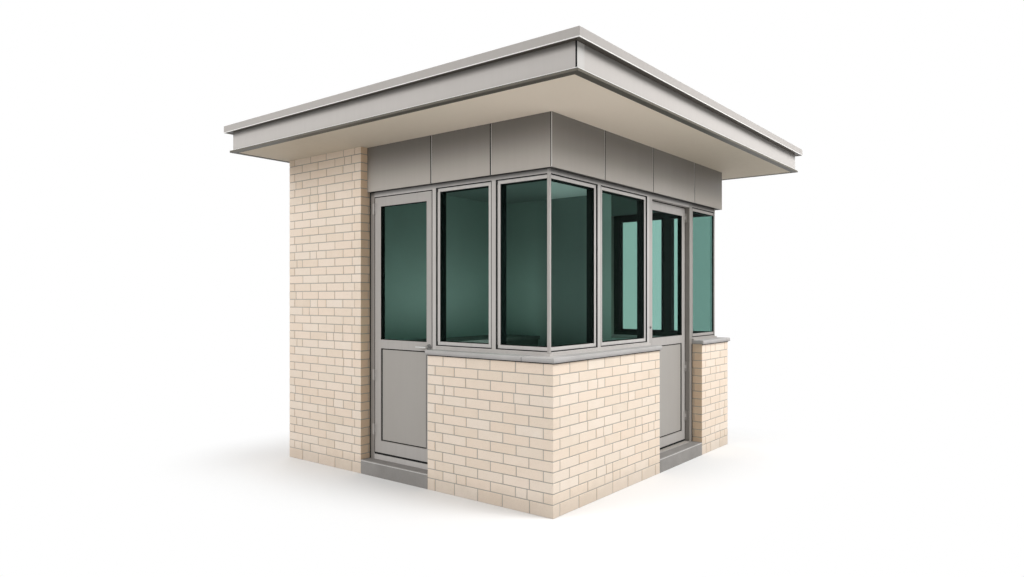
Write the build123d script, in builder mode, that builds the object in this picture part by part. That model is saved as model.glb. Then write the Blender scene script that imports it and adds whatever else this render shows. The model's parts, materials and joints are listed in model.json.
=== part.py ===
from build123d import *
import os

os.makedirs("parts", exist_ok=True)

# Kiosk booth: a flat-roofed one-room booth of brick, with glazed corners and two doors.
# Millimetres. Origin: centre of the roof outline, on the ground. Front is -Y, right is +X.

# Plan, measured on the outer brick faces
body_width = 3050.0
body_depth = 3140.0
wall_thickness = 215.0
pier_width = 1040.0
front_dado_length = 1205.0
side_dado_length = 1600.0
rear_side_dado_length = 650.0
back_dado_length = 1250.0

# Heights above the ground
slab_height = 120.0
step_edge = 4.0
brick_top = 1062.0
window_head = 2420.0
ceiling_height = 2680.0
soffit_height = 2805.0

# Roof edge, measured from the brick faces to the fascia
eave_front = 540.0
eave_right = 540.0
eave_back = 450.0
eave_left = 60.0
roof_core_thickness = 171.0
soffit_thickness = 9.0
ceiling_thickness = 12.0
membrane_thickness = 4.0
fascia_sheet = 3.0
drip_flange = 21.0
flange_height = 19.0
fascia_return = 34.0
coping_projection = 57.0
coping_width = 150.0
coping_height = 60.0
coping_fall = 6.0
mitre_joint = 1.5

# Sills on the low walls
sill_thickness = 35.0
sill_overhang = 18.0
sill_end_overhang = 10.0
sill_nose = 6.0

# Frieze and the beams behind it
frieze_setback = 70.0
side_frieze_setback = 61.0
back_frieze_setback = 0.0
frieze_sheet = 12.0
frieze_joint = 12.0
joint_share = 0.7
frieze_edge = 1.5

# Window and door frames
frame_setback = 100.0
back_frame_setback = 90.0
window_stop = 14.0
window_stop_depth = 20.0
frame_rail = 28.0
frame_head = 35.0
subsill_height = 16.0
subsill_projection = 14.0
mullion_width = 45.0
corner_light_width = 464.0
side_corner_light_width = 619.0
side_mullion_width = 50.0
sash_gap = 6.0
sash_width = 28.0
sash_recess = 8.0
sash_depth = 42.0
sash_ease = 2.0
pane_front = 5.0
pane_corner_gap = 2.0
glass_thickness = 6.0
glass_front = 14.0
glass_bite = 10.0
glass_edge_gap = 2.0

# Doors
front_hinge_jamb = 60.0
front_latch_jamb = 45.0
side_latch_jamb = 55.0
side_hinge_jamb = 62.0
door_head = 44.0
front_threshold = 42.0
side_threshold = 10.0
leaf_gap = 8.0
leaf_bottom_gap = 18.0
leaf_thickness = 45.0
front_hinge_stile = 75.0
front_latch_stile = 57.0
side_stile = 65.0
leaf_top_rail = 78.0
leaf_mid_rail = 75.0
front_bottom_rail = 103.0
side_bottom_rail = 86.0
leaf_mid_rail_top = 1150.0
side_leaf_recess = 45.0
side_frame_depth = 110.0
stop_width = 12.0
stop_thickness = 15.0
panel_thickness = 14.0
panel_field = 6.0
panel_shadow_gap = 10.0

# Hinges and door furniture
lower_hinge_height = 330.0
middle_hinge_height = 800.0
top_hinge_drop = 138.0
hinge_height = 90.0
knuckle_radius = 7.0
knuckle_gap = 0.5
pin_radius = 4.0
pin_clearance = 0.3
hinge_standoff = 8.0
flap_width = 20.0
flap_thickness = 2.5
flap_clearance = 0.8
lever_height = 1110.0
rose_radius = 24.0
rose_thickness = 8.0
rose_edge = 2.0
lever_radius = 8.0
lever_clearance = 0.3
lever_standoff = 45.0
lever_length = 105.0
lever_bend = 16.0
spindle_radius = 6.0
spindle_bore = 8.0
lock_radius = 15.0
lock_thickness = 5.0
cylinder_radius = 8.0
cylinder_stand = 3.0

# Counter along the left wall
counter_depth = 600.0
counter_top_height = 1050.0
counter_top_thickness = 40.0
counter_front_gap = 500.0
cabinet_length = 900.0
cabinet_setback = 30.0
counter_leg = 40.0

# Places worked out from the sizes above
roof_length = eave_left + body_width + eave_right + 2 * coping_projection
roof_depth = eave_front + body_depth + eave_back + 2 * coping_projection
x_left = -roof_length / 2 + coping_projection + eave_left
x_right = x_left + body_width
y_front = -roof_depth / 2 + coping_projection + eave_front
y_back = y_front + body_depth
fascia_x0 = x_left - eave_left
fascia_x1 = x_right + eave_right
fascia_y0 = y_front - eave_front
fascia_y1 = y_back + eave_back
inner_x0 = x_left + wall_thickness
inner_x1 = x_right - wall_thickness
inner_y0 = y_front + wall_thickness
inner_y1 = y_back - wall_thickness
wall_top = soffit_height + soffit_thickness
roof_top = wall_top + roof_core_thickness
sill_top = brick_top + sill_thickness
light_bottom = sill_top + frame_rail
subsill_top = sill_top + subsill_height
light_top = window_head - frame_head
door_top = window_head - door_head
sash_seat = sash_recess + sash_depth
post_size = sash_recess + pane_front + glass_thickness + pane_corner_gap
frame_depth = sash_seat + window_stop_depth

# Wall faces, seen from outside: x along the wall, y up, z outwards.
# The front runs to the left from the near corner, the side and the back run away from theirs.
front_face = Plane(origin=(x_right, y_front, 0), x_dir=(1, 0, 0), z_dir=(0, -1, 0))
side_face = Plane(origin=(x_right, y_front, 0), x_dir=(0, 1, 0), z_dir=(1, 0, 0))
back_face = Plane(origin=(x_right, y_back, 0), x_dir=(-1, 0, 0), z_dir=(0, 1, 0))

# Along the front, as distances to the left of the near corner
front_pier_edge = body_width - pier_width
front_leaf_left = front_pier_edge - front_hinge_jamb
front_leaf_right = front_dado_length + front_latch_jamb
front_post_edge = frame_setback + post_size
front_corner_light = front_post_edge + corner_light_width
front_second_light = front_corner_light + mullion_width

# Along the side, as distances behind the near corner
side_corner_light = front_post_edge + side_corner_light_width
side_second_light = side_corner_light + side_mullion_width
side_second_end = side_dado_length - mullion_width
side_door_far = body_depth - rear_side_dado_length
side_leaf_near = side_dado_length + side_latch_jamb
side_leaf_far = side_door_far - side_hinge_jamb
rear_post_start = body_depth - back_frame_setback - post_size

# Along the back, as distances from the far corner: the two lights of the front again
back_second_end = back_dado_length - mullion_width


def span(a0, a1, b0, b1, mode=Mode.ADD):
    # A rectangle between two limits each way
    with Locations(((a0 + a1) / 2, (b0 + b1) / 2)):
        Rectangle(abs(a1 - a0), abs(b1 - b0), mode=mode)


# Floor and steps
with BuildPart() as floor_slab:
    with BuildSketch():
        span(inner_x0, inner_x1, inner_y0, inner_y1)
        span(x_right - front_pier_edge, x_right - front_dado_length, y_front + frame_setback, inner_y0)
        span(inner_x1, x_right - frame_setback, y_front + side_dado_length, y_front + side_door_far)
    extrude(amount=slab_height)

with BuildPart() as front_step:
    with BuildSketch():
        span(x_right - front_pier_edge, x_right - front_dado_length, y_front, y_front + frame_setback)
    extrude(amount=slab_height)
    chamfer(front_step.faces().sort_by(Axis.Y)[0].edges().sort_by(Axis.Z)[-1], length=step_edge)

with BuildPart() as side_step:
    with BuildSketch():
        span(x_right - frame_setback, x_right, y_front + side_dado_length, y_front + side_door_far)
    extrude(amount=slab_height)
    chamfer(side_step.faces().sort_by(Axis.X)[-1].edges().sort_by(Axis.Z)[-1], length=step_edge)

# Full-height brickwork
with BuildPart() as front_pier:
    with BuildSketch():
        span(x_left, x_left + pier_width, y_front, inner_y0)
    extrude(amount=wall_top)

with BuildPart() as left_wall:
    with BuildSketch():
        span(x_left, inner_x0, inner_y0, inner_y1)
    extrude(amount=wall_top)

with BuildPart() as back_wall:
    with BuildSketch():
        span(x_left, x_right - back_dado_length, inner_y1, y_back)
    extrude(amount=wall_top)

# Low brick walls under the windows
with BuildPart() as front_dado:
    with BuildSketch():
        span(x_right - front_dado_length, x_right, y_front, inner_y0)
    extrude(amount=brick_top)

with BuildPart() as side_dado:
    with BuildSketch():
        span(inner_x1, x_right, inner_y0, y_front + side_dado_length)
    extrude(amount=brick_top)

with BuildPart() as rear_side_dado:
    with BuildSketch():
        span(inner_x1, x_right, y_front + side_door_far, inner_y1)
    extrude(amount=brick_top)

with BuildPart() as back_dado:
    with BuildSketch():
        span(x_right - back_dado_length, x_right, inner_y1, y_back)
    extrude(amount=brick_top)

# Sills: four lengths mitred at the corners, overhanging the brick outside and at the doors
sill_x1 = x_right + sill_overhang
sill_y0 = y_front - sill_overhang
sill_y1 = y_back + sill_overhang
front_end = x_right - front_dado_length
side_end = y_front + side_dado_length
rear_start = y_front + side_door_far
back_end = x_right - back_dado_length
front_sill_outline = [
    (front_end - sill_end_overhang, sill_y0),
    (sill_x1 - mitre_joint, sill_y0),
    (inner_x1 - mitre_joint, inner_y0),
    (front_end, inner_y0),
    (front_end, y_front + frame_setback),
    (front_end - sill_end_overhang, y_front + frame_setback),
]
side_sill_outline = [
    (sill_x1, sill_y0),
    (sill_x1, side_end + sill_end_overhang),
    (x_right - frame_setback, side_end + sill_end_overhang),
    (x_right - frame_setback, side_end),
    (inner_x1, side_end),
    (inner_x1, inner_y0),
]
rear_side_sill_outline = [
    (sill_x1, rear_start - sill_end_overhang),
    (sill_x1, sill_y1 - mitre_joint),
    (inner_x1, inner_y1 - mitre_joint),
    (inner_x1, rear_start),
    (x_right - frame_setback, rear_start),
    (x_right - frame_setback, rear_start - sill_end_overhang),
]
back_sill_outline = [
    (sill_x1, sill_y1),
    (inner_x1, inner_y1),
    (back_end, inner_y1),
    (back_end, sill_y1),
]
with BuildPart() as window_sills:
    for outline in (front_sill_outline, side_sill_outline, rear_side_sill_outline, back_sill_outline):
        with BuildSketch(Plane.XY.offset(brick_top)):
            with BuildLine():
                Polyline(outline, close=True)
            make_face()
        extrude(amount=sill_thickness)
    nose_edges = window_sills.edges().filter_by(Axis.X).group_by(Axis.Z)[-1].sort_by(Axis.Y)
    chamfer([nose_edges[0], nose_edges[-1]], length=sill_nose)
    far_edges = window_sills.edges().filter_by(Axis.Y).group_by(Axis.Z)[-1].group_by(Axis.X)[-1]
    chamfer(far_edges, length=sill_nose)

# Beams over the windows and doors
with BuildPart() as front_beam:
    with BuildSketch(Plane.XY.offset(window_head)):
        span(
            x_right - front_pier_edge,
            x_right - side_frieze_setback - frieze_sheet,
            y_front + frieze_setback + frieze_sheet,
            inner_y0,
        )
    extrude(amount=wall_top - window_head)

with BuildPart() as side_beam:
    with BuildSketch(Plane.XY.offset(window_head)):
        span(inner_x1, x_right - side_frieze_setback - frieze_sheet, inner_y0, inner_y1)
    extrude(amount=wall_top - window_head)

with BuildPart() as back_beam:
    with BuildSketch(Plane.XY.offset(window_head)):
        span(
            x_right - back_dado_length,
            x_right - side_frieze_setback - frieze_sheet,
            inner_y1,
            y_back - back_frieze_setback - frieze_sheet,
        )
    extrude(amount=wall_top - window_head)

# Frieze panels, with open joints over the frame members below, at the front past their middle
front_joints = (
    front_dado_length + joint_share * front_latch_jamb,
    front_corner_light + joint_share * mullion_width,
)
side_joints = (side_second_light, side_dado_length, side_door_far - side_hinge_jamb / 2)
back_joints = (front_corner_light + mullion_width / 2,)


def panel_row(start, end, joints):
    # Panels between two ends, with half a joint taken off at each meeting
    gaps = [j for joint in joints for j in (joint - frieze_joint / 2, joint + frieze_joint / 2)]
    edges = [start, *gaps, end]
    for a0, a1 in zip(edges[::2], edges[1::2]):
        span(a0, a1, window_head, soffit_height)


with BuildPart() as front_frieze:
    with BuildSketch(front_face.offset(-frieze_setback)):
        panel_row(-front_pier_edge, -side_frieze_setback, [-joint for joint in front_joints])
    extrude(amount=-frieze_sheet)
    chamfer(front_frieze.faces().group_by(Axis.Y)[0].edges().filter_by(Axis.Z), length=frieze_edge)

with BuildPart() as side_frieze:
    with BuildSketch(side_face.offset(-side_frieze_setback)):
        side_frieze_end = body_depth - back_frieze_setback - frieze_sheet
        panel_row(frieze_setback + frieze_sheet, side_frieze_end, side_joints)
    extrude(amount=-frieze_sheet)
    chamfer(side_frieze.faces().group_by(Axis.X)[-1].edges().filter_by(Axis.Z), length=frieze_edge)

with BuildPart() as back_frieze:
    with BuildSketch(back_face.offset(-back_frieze_setback)):
        panel_row(side_frieze_setback, back_dado_length, back_joints)
    extrude(amount=-frieze_sheet)
    chamfer(back_frieze.faces().group_by(Axis.Y)[-1].edges().filter_by(Axis.Z), length=frieze_edge)

# Corner posts between the glazed corners
with BuildPart() as corner_posts:
    with BuildSketch(Plane.XY.offset(sill_top)):
        post_x = x_right - frame_setback
        front_post_y = y_front + frame_setback
        back_post_y = y_back - back_frame_setback
        span(post_x - post_size, post_x, front_post_y, front_post_y + post_size)
        span(post_x - post_size, post_x, back_post_y - post_size, back_post_y)
    extrude(amount=window_head - sill_top)
    chamfer(corner_posts.edges().filter_by(Axis.Z).group_by(Axis.X)[-1], length=sash_ease)

# Window frames: rails above and below, with mullions between the lights
front_lights = ((-front_corner_light, -front_post_edge), (-front_dado_length, -front_second_light))
side_lights = ((front_post_edge, side_corner_light), (side_second_light, side_second_end))
rear_side_lights = ((side_door_far, rear_post_start),)
back_lights = ((front_post_edge, front_corner_light), (front_second_light, back_second_end))

# Each light with its post side: -1 or 1 where that end butts a corner post, 0 where it has two stiles
front_rows = ((front_lights[0], 1), (front_lights[1], 0))
side_rows = ((side_lights[0], -1), (side_lights[1], 0))
rear_side_rows = ((rear_side_lights[0], 1),)
back_rows = ((back_lights[0], -1), (back_lights[1], 0))


def window_frame_outline(start, end, rows, stop):
    # One frame with an opening for each light, narrowed by the stop that the sash seats on
    span(start, end, sill_top, window_head)
    for (a0, a1), post_side in rows:
        low = a0 if post_side < 0 else a0 + stop
        high = a1 if post_side > 0 else a1 - stop
        span(low, high, light_bottom + stop, light_top - stop, mode=Mode.SUBTRACT)


# Behind each post the rails of the front or the back run on, and the side rails butt against them
frame_back = frame_setback + frame_depth
back_frame_back = back_frame_setback + frame_depth
with BuildPart() as rail_corners:
    with BuildSketch(Plane.XY.offset(sill_top)):
        corner_x = (x_right - frame_back, x_right - front_post_edge)
        span(*corner_x, y_front + front_post_edge, y_front + frame_back)
        span(*corner_x, y_back - back_frame_back, y_front + rear_post_start)
    extrude(amount=window_head - sill_top)

with BuildPart() as front_window_frame:
    with BuildSketch(front_face.offset(-frame_setback)):
        span(-front_dado_length, subsill_projection - frame_setback, sill_top, subsill_top)
    extrude(amount=subsill_projection)
    with BuildSketch(front_face.offset(-frame_setback)):
        window_frame_outline(-front_dado_length, -front_post_edge, front_rows, 0)
    extrude(amount=-sash_seat)
    with BuildSketch(front_face.offset(-frame_setback - sash_seat)):
        window_frame_outline(-front_dado_length, -front_post_edge, front_rows, window_stop)
    extrude(amount=-window_stop_depth)

with BuildPart() as side_window_frame:
    with BuildSketch(side_face.offset(-frame_setback)):
        span(frame_setback, side_dado_length, sill_top, subsill_top)
    extrude(amount=subsill_projection)
    with BuildSketch(side_face.offset(-frame_setback)):
        window_frame_outline(front_post_edge, side_dado_length, side_rows, 0)
    extrude(amount=-sash_seat)
    with BuildSketch(side_face.offset(-frame_setback - sash_seat)):
        window_frame_outline(front_post_edge, side_dado_length, side_rows, window_stop)
    extrude(amount=-window_stop_depth)
    add(rail_corners.part, mode=Mode.SUBTRACT)

with BuildPart() as rear_window_frames:
    with BuildSketch(side_face.offset(-frame_setback)):
        span(side_door_far, body_depth - back_frame_setback, sill_top, subsill_top)
    extrude(amount=subsill_projection)
    with BuildSketch(back_face.offset(-back_frame_setback)):
        span(frame_setback - subsill_projection, back_dado_length, sill_top, subsill_top)
    extrude(amount=subsill_projection)
    with BuildSketch(side_face.offset(-frame_setback)):
        window_frame_outline(side_door_far, rear_post_start, rear_side_rows, 0)
    extrude(amount=-sash_seat)
    with BuildSketch(side_face.offset(-frame_setback - sash_seat)):
        window_frame_outline(side_door_far, rear_post_start, rear_side_rows, window_stop)
    extrude(amount=-window_stop_depth)
    add(rail_corners.part, mode=Mode.SUBTRACT)
    with BuildSketch(back_face.offset(-back_frame_setback)):
        window_frame_outline(front_post_edge, back_dado_length, back_rows, 0)
    extrude(amount=-sash_seat)
    with BuildSketch(back_face.offset(-back_frame_setback - sash_seat)):
        window_frame_outline(front_post_edge, back_dado_length, back_rows, window_stop)
    extrude(amount=-window_stop_depth)


# Sashes: rebated rings, open to the post at a glazed corner
def sash_outline(light, post_side):
    a0, a1 = light
    outer0 = a0 if post_side < 0 else a0 + sash_gap
    outer1 = a1 if post_side > 0 else a1 - sash_gap
    inner0 = outer0 if post_side < 0 else outer0 + sash_width
    inner1 = outer1 if post_side > 0 else outer1 - sash_width
    return outer0, outer1, inner0, inner1


def sash_ring(light, post_side):
    outer0, outer1, inner0, inner1 = sash_outline(light, post_side)
    span(outer0, outer1, light_bottom + sash_gap, light_top - sash_gap)
    glass_low = light_bottom + sash_gap + sash_width
    glass_high = light_top - sash_gap - sash_width
    span(inner0, inner1, glass_low, glass_high, mode=Mode.SUBTRACT)


def pane(light, post_side, bite):
    # The glass reaches past the visible opening into the rebate, but only up to the post
    inner0, inner1 = sash_outline(light, post_side)[2:]
    low = light_bottom + sash_gap + sash_width - bite
    high = light_top - sash_gap - sash_width + bite
    span(inner0 if post_side < 0 else inner0 - bite, inner1 if post_side > 0 else inner1 + bite, low, high)


pane_bite = glass_bite - glass_edge_gap
front_sash_face = front_face.offset(-frame_setback - sash_recess)
side_sash_face = side_face.offset(-frame_setback - sash_recess)
back_sash_face = back_face.offset(-back_frame_setback - sash_recess)

with BuildPart() as front_sashes:
    with BuildSketch(front_sash_face):
        for light, post_side in front_rows:
            sash_ring(light, post_side)
    extrude(amount=-sash_depth)
    chamfer(front_sashes.faces().group_by(Axis.Y)[0].edges(), length=sash_ease)
    with BuildSketch(front_sash_face.offset(-pane_front)):
        for light, post_side in front_rows:
            pane(light, post_side, glass_bite)
    extrude(amount=-glass_thickness, mode=Mode.SUBTRACT)

with BuildPart() as front_glass:
    with BuildSketch(front_sash_face.offset(-pane_front)):
        for light, post_side in front_rows:
            pane(light, post_side, pane_bite)
    extrude(amount=-glass_thickness)

with BuildPart() as side_sashes:
    with BuildSketch(side_sash_face):
        for light, post_side in side_rows:
            sash_ring(light, post_side)
    extrude(amount=-sash_depth)
    chamfer(side_sashes.faces().group_by(Axis.X)[-1].edges(), length=sash_ease)
    add(rail_corners.part, mode=Mode.SUBTRACT)
    with BuildSketch(side_sash_face.offset(-pane_front)):
        for light, post_side in side_rows:
            pane(light, post_side, glass_bite)
    extrude(amount=-glass_thickness, mode=Mode.SUBTRACT)

with BuildPart() as side_glass:
    with BuildSketch(side_sash_face.offset(-pane_front)):
        for light, post_side in side_rows:
            pane(light, post_side, pane_bite)
    extrude(amount=-glass_thickness)

with BuildPart() as rear_sashes:
    with BuildSketch(side_sash_face):
        for light, post_side in rear_side_rows:
            sash_ring(light, post_side)
    extrude(amount=-sash_depth)
    chamfer(rear_sashes.faces().group_by(Axis.X)[-1].edges(), length=sash_ease)
    add(rail_corners.part, mode=Mode.SUBTRACT)
    with BuildSketch(side_sash_face.offset(-pane_front)):
        for light, post_side in rear_side_rows:
            pane(light, post_side, glass_bite)
    extrude(amount=-glass_thickness, mode=Mode.SUBTRACT)
    with BuildSketch(back_sash_face):
        for light, post_side in back_rows:
            sash_ring(light, post_side)
    extrude(amount=-sash_depth)
    chamfer(rear_sashes.faces().group_by(Axis.Y)[-1].edges(), length=sash_ease)
    with BuildSketch(back_sash_face.offset(-pane_front)):
        for light, post_side in back_rows:
            pane(light, post_side, glass_bite)
    extrude(amount=-glass_thickness, mode=Mode.SUBTRACT)

with BuildPart() as rear_glass:
    with BuildSketch(side_sash_face.offset(-pane_front)):
        for light, post_side in rear_side_rows:
            pane(light, post_side, pane_bite)
    extrude(amount=-glass_thickness)
    with BuildSketch(back_sash_face.offset(-pane_front)):
        for light, post_side in back_rows:
            pane(light, post_side, pane_bite)
    extrude(amount=-glass_thickness)


# Doors: a frame with a stop behind the leaf, a railed leaf, glass above and a panel below
class Door:
    # Limits along the wall face, and how deep the frame and the leaf stand behind it
    def __init__(self, face, frame, opening, stiles, bottom, bottom_rail, depth, leaf_front):
        self.face = face
        self.frame = frame
        self.opening = opening
        self.bottom = bottom
        self.depth = depth
        self.leaf_front = leaf_front
        self.leaf = (opening[0] + leaf_gap, opening[1] - leaf_gap)
        self.light = (self.leaf[0] + stiles[0], self.leaf[1] - stiles[1])
        self.leaf_top = door_top - leaf_gap
        self.leaf_bottom = bottom + leaf_bottom_gap
        self.glass = (leaf_mid_rail_top, self.leaf_top - leaf_top_rail)
        self.panel = (self.leaf_bottom + bottom_rail, leaf_mid_rail_top - leaf_mid_rail)

    def at(self, depth):
        return self.face.offset(-depth)


front_door = Door(
    front_face,
    (-front_pier_edge, -front_dado_length),
    (-front_leaf_left, -front_leaf_right),
    (front_hinge_stile, front_latch_stile),
    slab_height + front_threshold,
    front_bottom_rail,
    frame_depth,
    frame_setback,
)
side_door = Door(
    side_face,
    (side_dado_length, side_door_far),
    (side_leaf_near, side_leaf_far),
    (side_stile, side_stile),
    slab_height + side_threshold,
    side_bottom_rail,
    side_frame_depth,
    frame_setback + side_leaf_recess,
)


def light_span(door, heights, grow, mode=Mode.ADD):
    # A rectangle round one of the leaf's openings, grown by the same amount each way
    span(door.light[0] - grow, door.light[1] + grow, heights[0] - grow, heights[1] + grow, mode=mode)


def door_frame(door):
    with BuildPart() as frame:
        with BuildSketch(door.at(frame_setback)):
            span(*door.frame, slab_height, window_head)
            span(*door.opening, door.bottom, door_top, mode=Mode.SUBTRACT)
        extrude(amount=-door.depth)
        with BuildSketch(door.at(frame_setback + door.depth)):
            span(*door.opening, door.bottom, door_top)
            stop0 = door.opening[0] + stop_width
            stop1 = door.opening[1] - stop_width
            span(stop0, stop1, door.bottom, door_top - stop_width, mode=Mode.SUBTRACT)
        extrude(amount=stop_thickness)
    return frame.part


def door_leaf(door):
    with BuildPart() as leaf:
        with BuildSketch(door.at(door.leaf_front)):
            span(*door.leaf, door.leaf_bottom, door.leaf_top)
            light_span(door, door.glass, 0, Mode.SUBTRACT)
            light_span(door, door.panel, 0, Mode.SUBTRACT)
        extrude(amount=-leaf_thickness)
        with BuildSketch(door.at(door.leaf_front + glass_front)):
            light_span(door, door.glass, glass_bite)
        extrude(amount=-glass_thickness, mode=Mode.SUBTRACT)
        with BuildSketch(door.at(door.leaf_front + glass_front)):
            light_span(door, door.panel, glass_bite)
        extrude(amount=-panel_thickness, mode=Mode.SUBTRACT)
    return leaf.part


def door_glass(door):
    with BuildPart() as glass:
        with BuildSketch(door.at(door.leaf_front + glass_front)):
            light_span(door, door.glass, pane_bite)
        extrude(amount=-glass_thickness)
    return glass.part


def door_panel(door):
    # A board in the rebate with a raised field, so a shadow gap runs round it
    with BuildPart() as panel:
        with BuildSketch(door.at(door.leaf_front + glass_front)):
            light_span(door, door.panel, pane_bite)
        extrude(amount=-panel_thickness)
        with BuildSketch(door.at(door.leaf_front + glass_front)):
            light_span(door, door.panel, -panel_shadow_gap)
        extrude(amount=panel_field)
    return panel.part


hinge_heights = (lower_hinge_height, middle_hinge_height, door_top - leaf_gap - top_hinge_drop)
hinge_reach = knuckle_radius + flap_clearance
knuckle_length = (hinge_height - 2 * knuckle_gap) / 3


def hinge_half(pin, tab, flap, moving):
    # Half a butt hinge: knuckles round the pin, with tabs and a flap given by their limits in plan
    middle = (knuckle_length + knuckle_gap, 2 * knuckle_length + knuckle_gap)
    outer = ((0, knuckle_length), (hinge_height - knuckle_length, hinge_height))
    with BuildPart() as half:
        for height in hinge_heights:
            for low, high in (middle,) if moving else outer:
                with BuildSketch(Plane.XY.offset(height + low)):
                    with Locations(pin):
                        Circle(knuckle_radius)
                    span(*tab)
                    if moving:
                        with Locations(pin):
                            Circle(pin_radius + pin_clearance, mode=Mode.SUBTRACT)
                extrude(amount=high - low)
            with BuildSketch(Plane.XY.offset(height)):
                span(*flap)
                if not moving:
                    with Locations(pin):
                        Circle(pin_radius)
            extrude(amount=hinge_height)
    return half.part


# The front door hangs on the pier side and opens outwards
pin_x = x_right - front_leaf_left + leaf_gap / 2
front_pin = (pin_x, y_front + frame_setback - hinge_standoff)
front_flap_band = (y_front + frame_setback - flap_thickness, y_front + frame_setback)
leaf_tab = (pin_x, pin_x + hinge_reach, *front_flap_band)
leaf_flap = (pin_x + hinge_reach, pin_x + hinge_reach + flap_width, *front_flap_band)
jamb_tab = (pin_x - hinge_reach, pin_x, *front_flap_band)
jamb_flap = (pin_x - hinge_reach - flap_width, pin_x - hinge_reach, *front_flap_band)

with BuildPart() as front_door_frame:
    add(door_frame(front_door))

with BuildPart() as front_door_leaf:
    add(door_leaf(front_door))
    with BuildSketch(front_door.at(frame_setback)):
        with Locations((front_door.leaf[1] - front_latch_stile / 2, lever_height)):
            Circle(spindle_bore)
    extrude(amount=-leaf_thickness, mode=Mode.SUBTRACT)
    add(hinge_half(front_pin, leaf_tab, leaf_flap, True))

with BuildPart() as front_door_glass:
    add(door_glass(front_door))

with BuildPart() as front_door_panel:
    add(door_panel(front_door))

with BuildPart() as front_door_hinges:
    add(hinge_half(front_pin, jamb_tab, jamb_flap, False))

# Lever handles on one spindle, with a rose on each face of the leaf
lever_u = front_door.leaf[1] - front_latch_stile / 2

with BuildPart() as front_door_roses:
    leaf_back = frame_setback + leaf_thickness
    for depth, outward in ((frame_setback, rose_thickness), (leaf_back, -rose_thickness)):
        with BuildSketch(front_door.at(depth)):
            with Locations((lever_u, lever_height)):
                Circle(rose_radius)
                Circle(lever_radius + lever_clearance, mode=Mode.SUBTRACT)
        extrude(amount=outward)
    for face in (front_door_roses.faces().sort_by(Axis.Y)[0], front_door_roses.faces().sort_by(Axis.Y)[-1]):
        chamfer(face.edges().sort_by(SortBy.LENGTH)[-1], length=rose_edge)

lever_x = x_right + lever_u
lever_y_out = y_front + frame_setback
lever_y_in = lever_y_out + leaf_thickness
with BuildPart() as front_door_levers:
    for start_y, away in ((lever_y_out, -1), (lever_y_in, 1)):
        bar_y = start_y + away * lever_standoff
        with BuildLine() as lever_path:
            FilletPolyline(
                (lever_x, start_y, lever_height),
                (lever_x, bar_y, lever_height),
                (lever_x - lever_length, bar_y, lever_height),
                radius=lever_bend,
            )
        with BuildSketch(Plane(origin=(lever_x, start_y, lever_height), z_dir=(0, away, 0))):
            Circle(lever_radius)
        sweep(path=lever_path.wires()[0])
    with BuildSketch(Plane(origin=(lever_x, lever_y_out, lever_height), z_dir=(0, 1, 0))):
        Circle(spindle_radius)
    extrude(amount=leaf_thickness)

# The side door stands back in its frame and hangs on the far jamb
side_leaf_x = x_right - side_door.leaf_front
side_reveal_y = y_front + side_leaf_far
side_pin = (side_leaf_x + hinge_standoff, side_reveal_y - knuckle_radius - knuckle_gap)
side_tab_x = side_pin[0] + hinge_reach
side_tab_y = side_pin[1] - hinge_reach
side_leaf_band = (side_leaf_x, side_leaf_x + flap_thickness)
side_jamb_band = (side_reveal_y - flap_thickness, side_reveal_y)

with BuildPart() as side_door_frame:
    add(door_frame(side_door))

with BuildPart() as side_door_leaf:
    add(door_leaf(side_door))
    side_leaf_tab = (*side_leaf_band, side_tab_y, side_pin[1])
    side_leaf_flap = (*side_leaf_band, side_tab_y - flap_width, side_tab_y)
    add(hinge_half(side_pin, side_leaf_tab, side_leaf_flap, True))

with BuildPart() as side_door_glass:
    add(door_glass(side_door))

with BuildPart() as side_door_panel:
    add(door_panel(side_door))

with BuildPart() as side_door_hinges:
    side_jamb_tab = (side_pin[0], side_tab_x, *side_jamb_band)
    side_jamb_flap = (side_tab_x, side_tab_x + flap_width, *side_jamb_band)
    add(hinge_half(side_pin, side_jamb_tab, side_jamb_flap, False))

# A lock cylinder through the latch stile, with a round plate on each face
with BuildPart() as side_door_lock:
    lock_u = side_door.leaf[0] + side_stile / 2
    for depth, outward in ((side_door.leaf_front, 1), (side_door.leaf_front + leaf_thickness, -1)):
        with BuildSketch(side_door.at(depth)):
            with Locations((lock_u, lever_height)):
                Circle(lock_radius)
        extrude(amount=outward * lock_thickness)
        with BuildSketch(side_door.at(depth)):
            with Locations((lock_u, lever_height)):
                Circle(cylinder_radius)
        extrude(amount=outward * (lock_thickness + cylinder_stand))

# Roof: a core on the wall tops, a soffit outside the walls and a ceiling inside
with BuildPart() as roof_core:
    with BuildSketch(Plane.XY.offset(wall_top)):
        span(
            fascia_x0 + fascia_sheet,
            fascia_x1 - fascia_sheet,
            fascia_y0 + fascia_sheet,
            fascia_y1 - fascia_sheet,
        )
    extrude(amount=roof_core_thickness)

with BuildPart() as soffit:
    with BuildSketch(Plane.XY.offset(soffit_height)):
        span(
            fascia_x0 + fascia_return,
            fascia_x1 - fascia_return,
            fascia_y0 + fascia_return,
            fascia_y1 - fascia_return,
        )
        span(x_left, x_right - side_frieze_setback, y_front + frieze_setback, y_back, mode=Mode.SUBTRACT)
        span(x_left, x_left + pier_width, y_front, y_front + frieze_setback, mode=Mode.SUBTRACT)
    extrude(amount=soffit_thickness)

with BuildPart() as ceiling:
    with BuildSketch(Plane.XY.offset(ceiling_height)):
        span(inner_x0, inner_x1, inner_y0, inner_y1)
    extrude(amount=ceiling_thickness)

with BuildPart() as roof_membrane:
    with BuildSketch(Plane.XY.offset(roof_top)):
        inset = coping_width - coping_projection
        span(fascia_x0 + inset, fascia_x1 - inset, fascia_y0 + inset, fascia_y1 - inset)
    extrude(amount=membrane_thickness)


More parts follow.
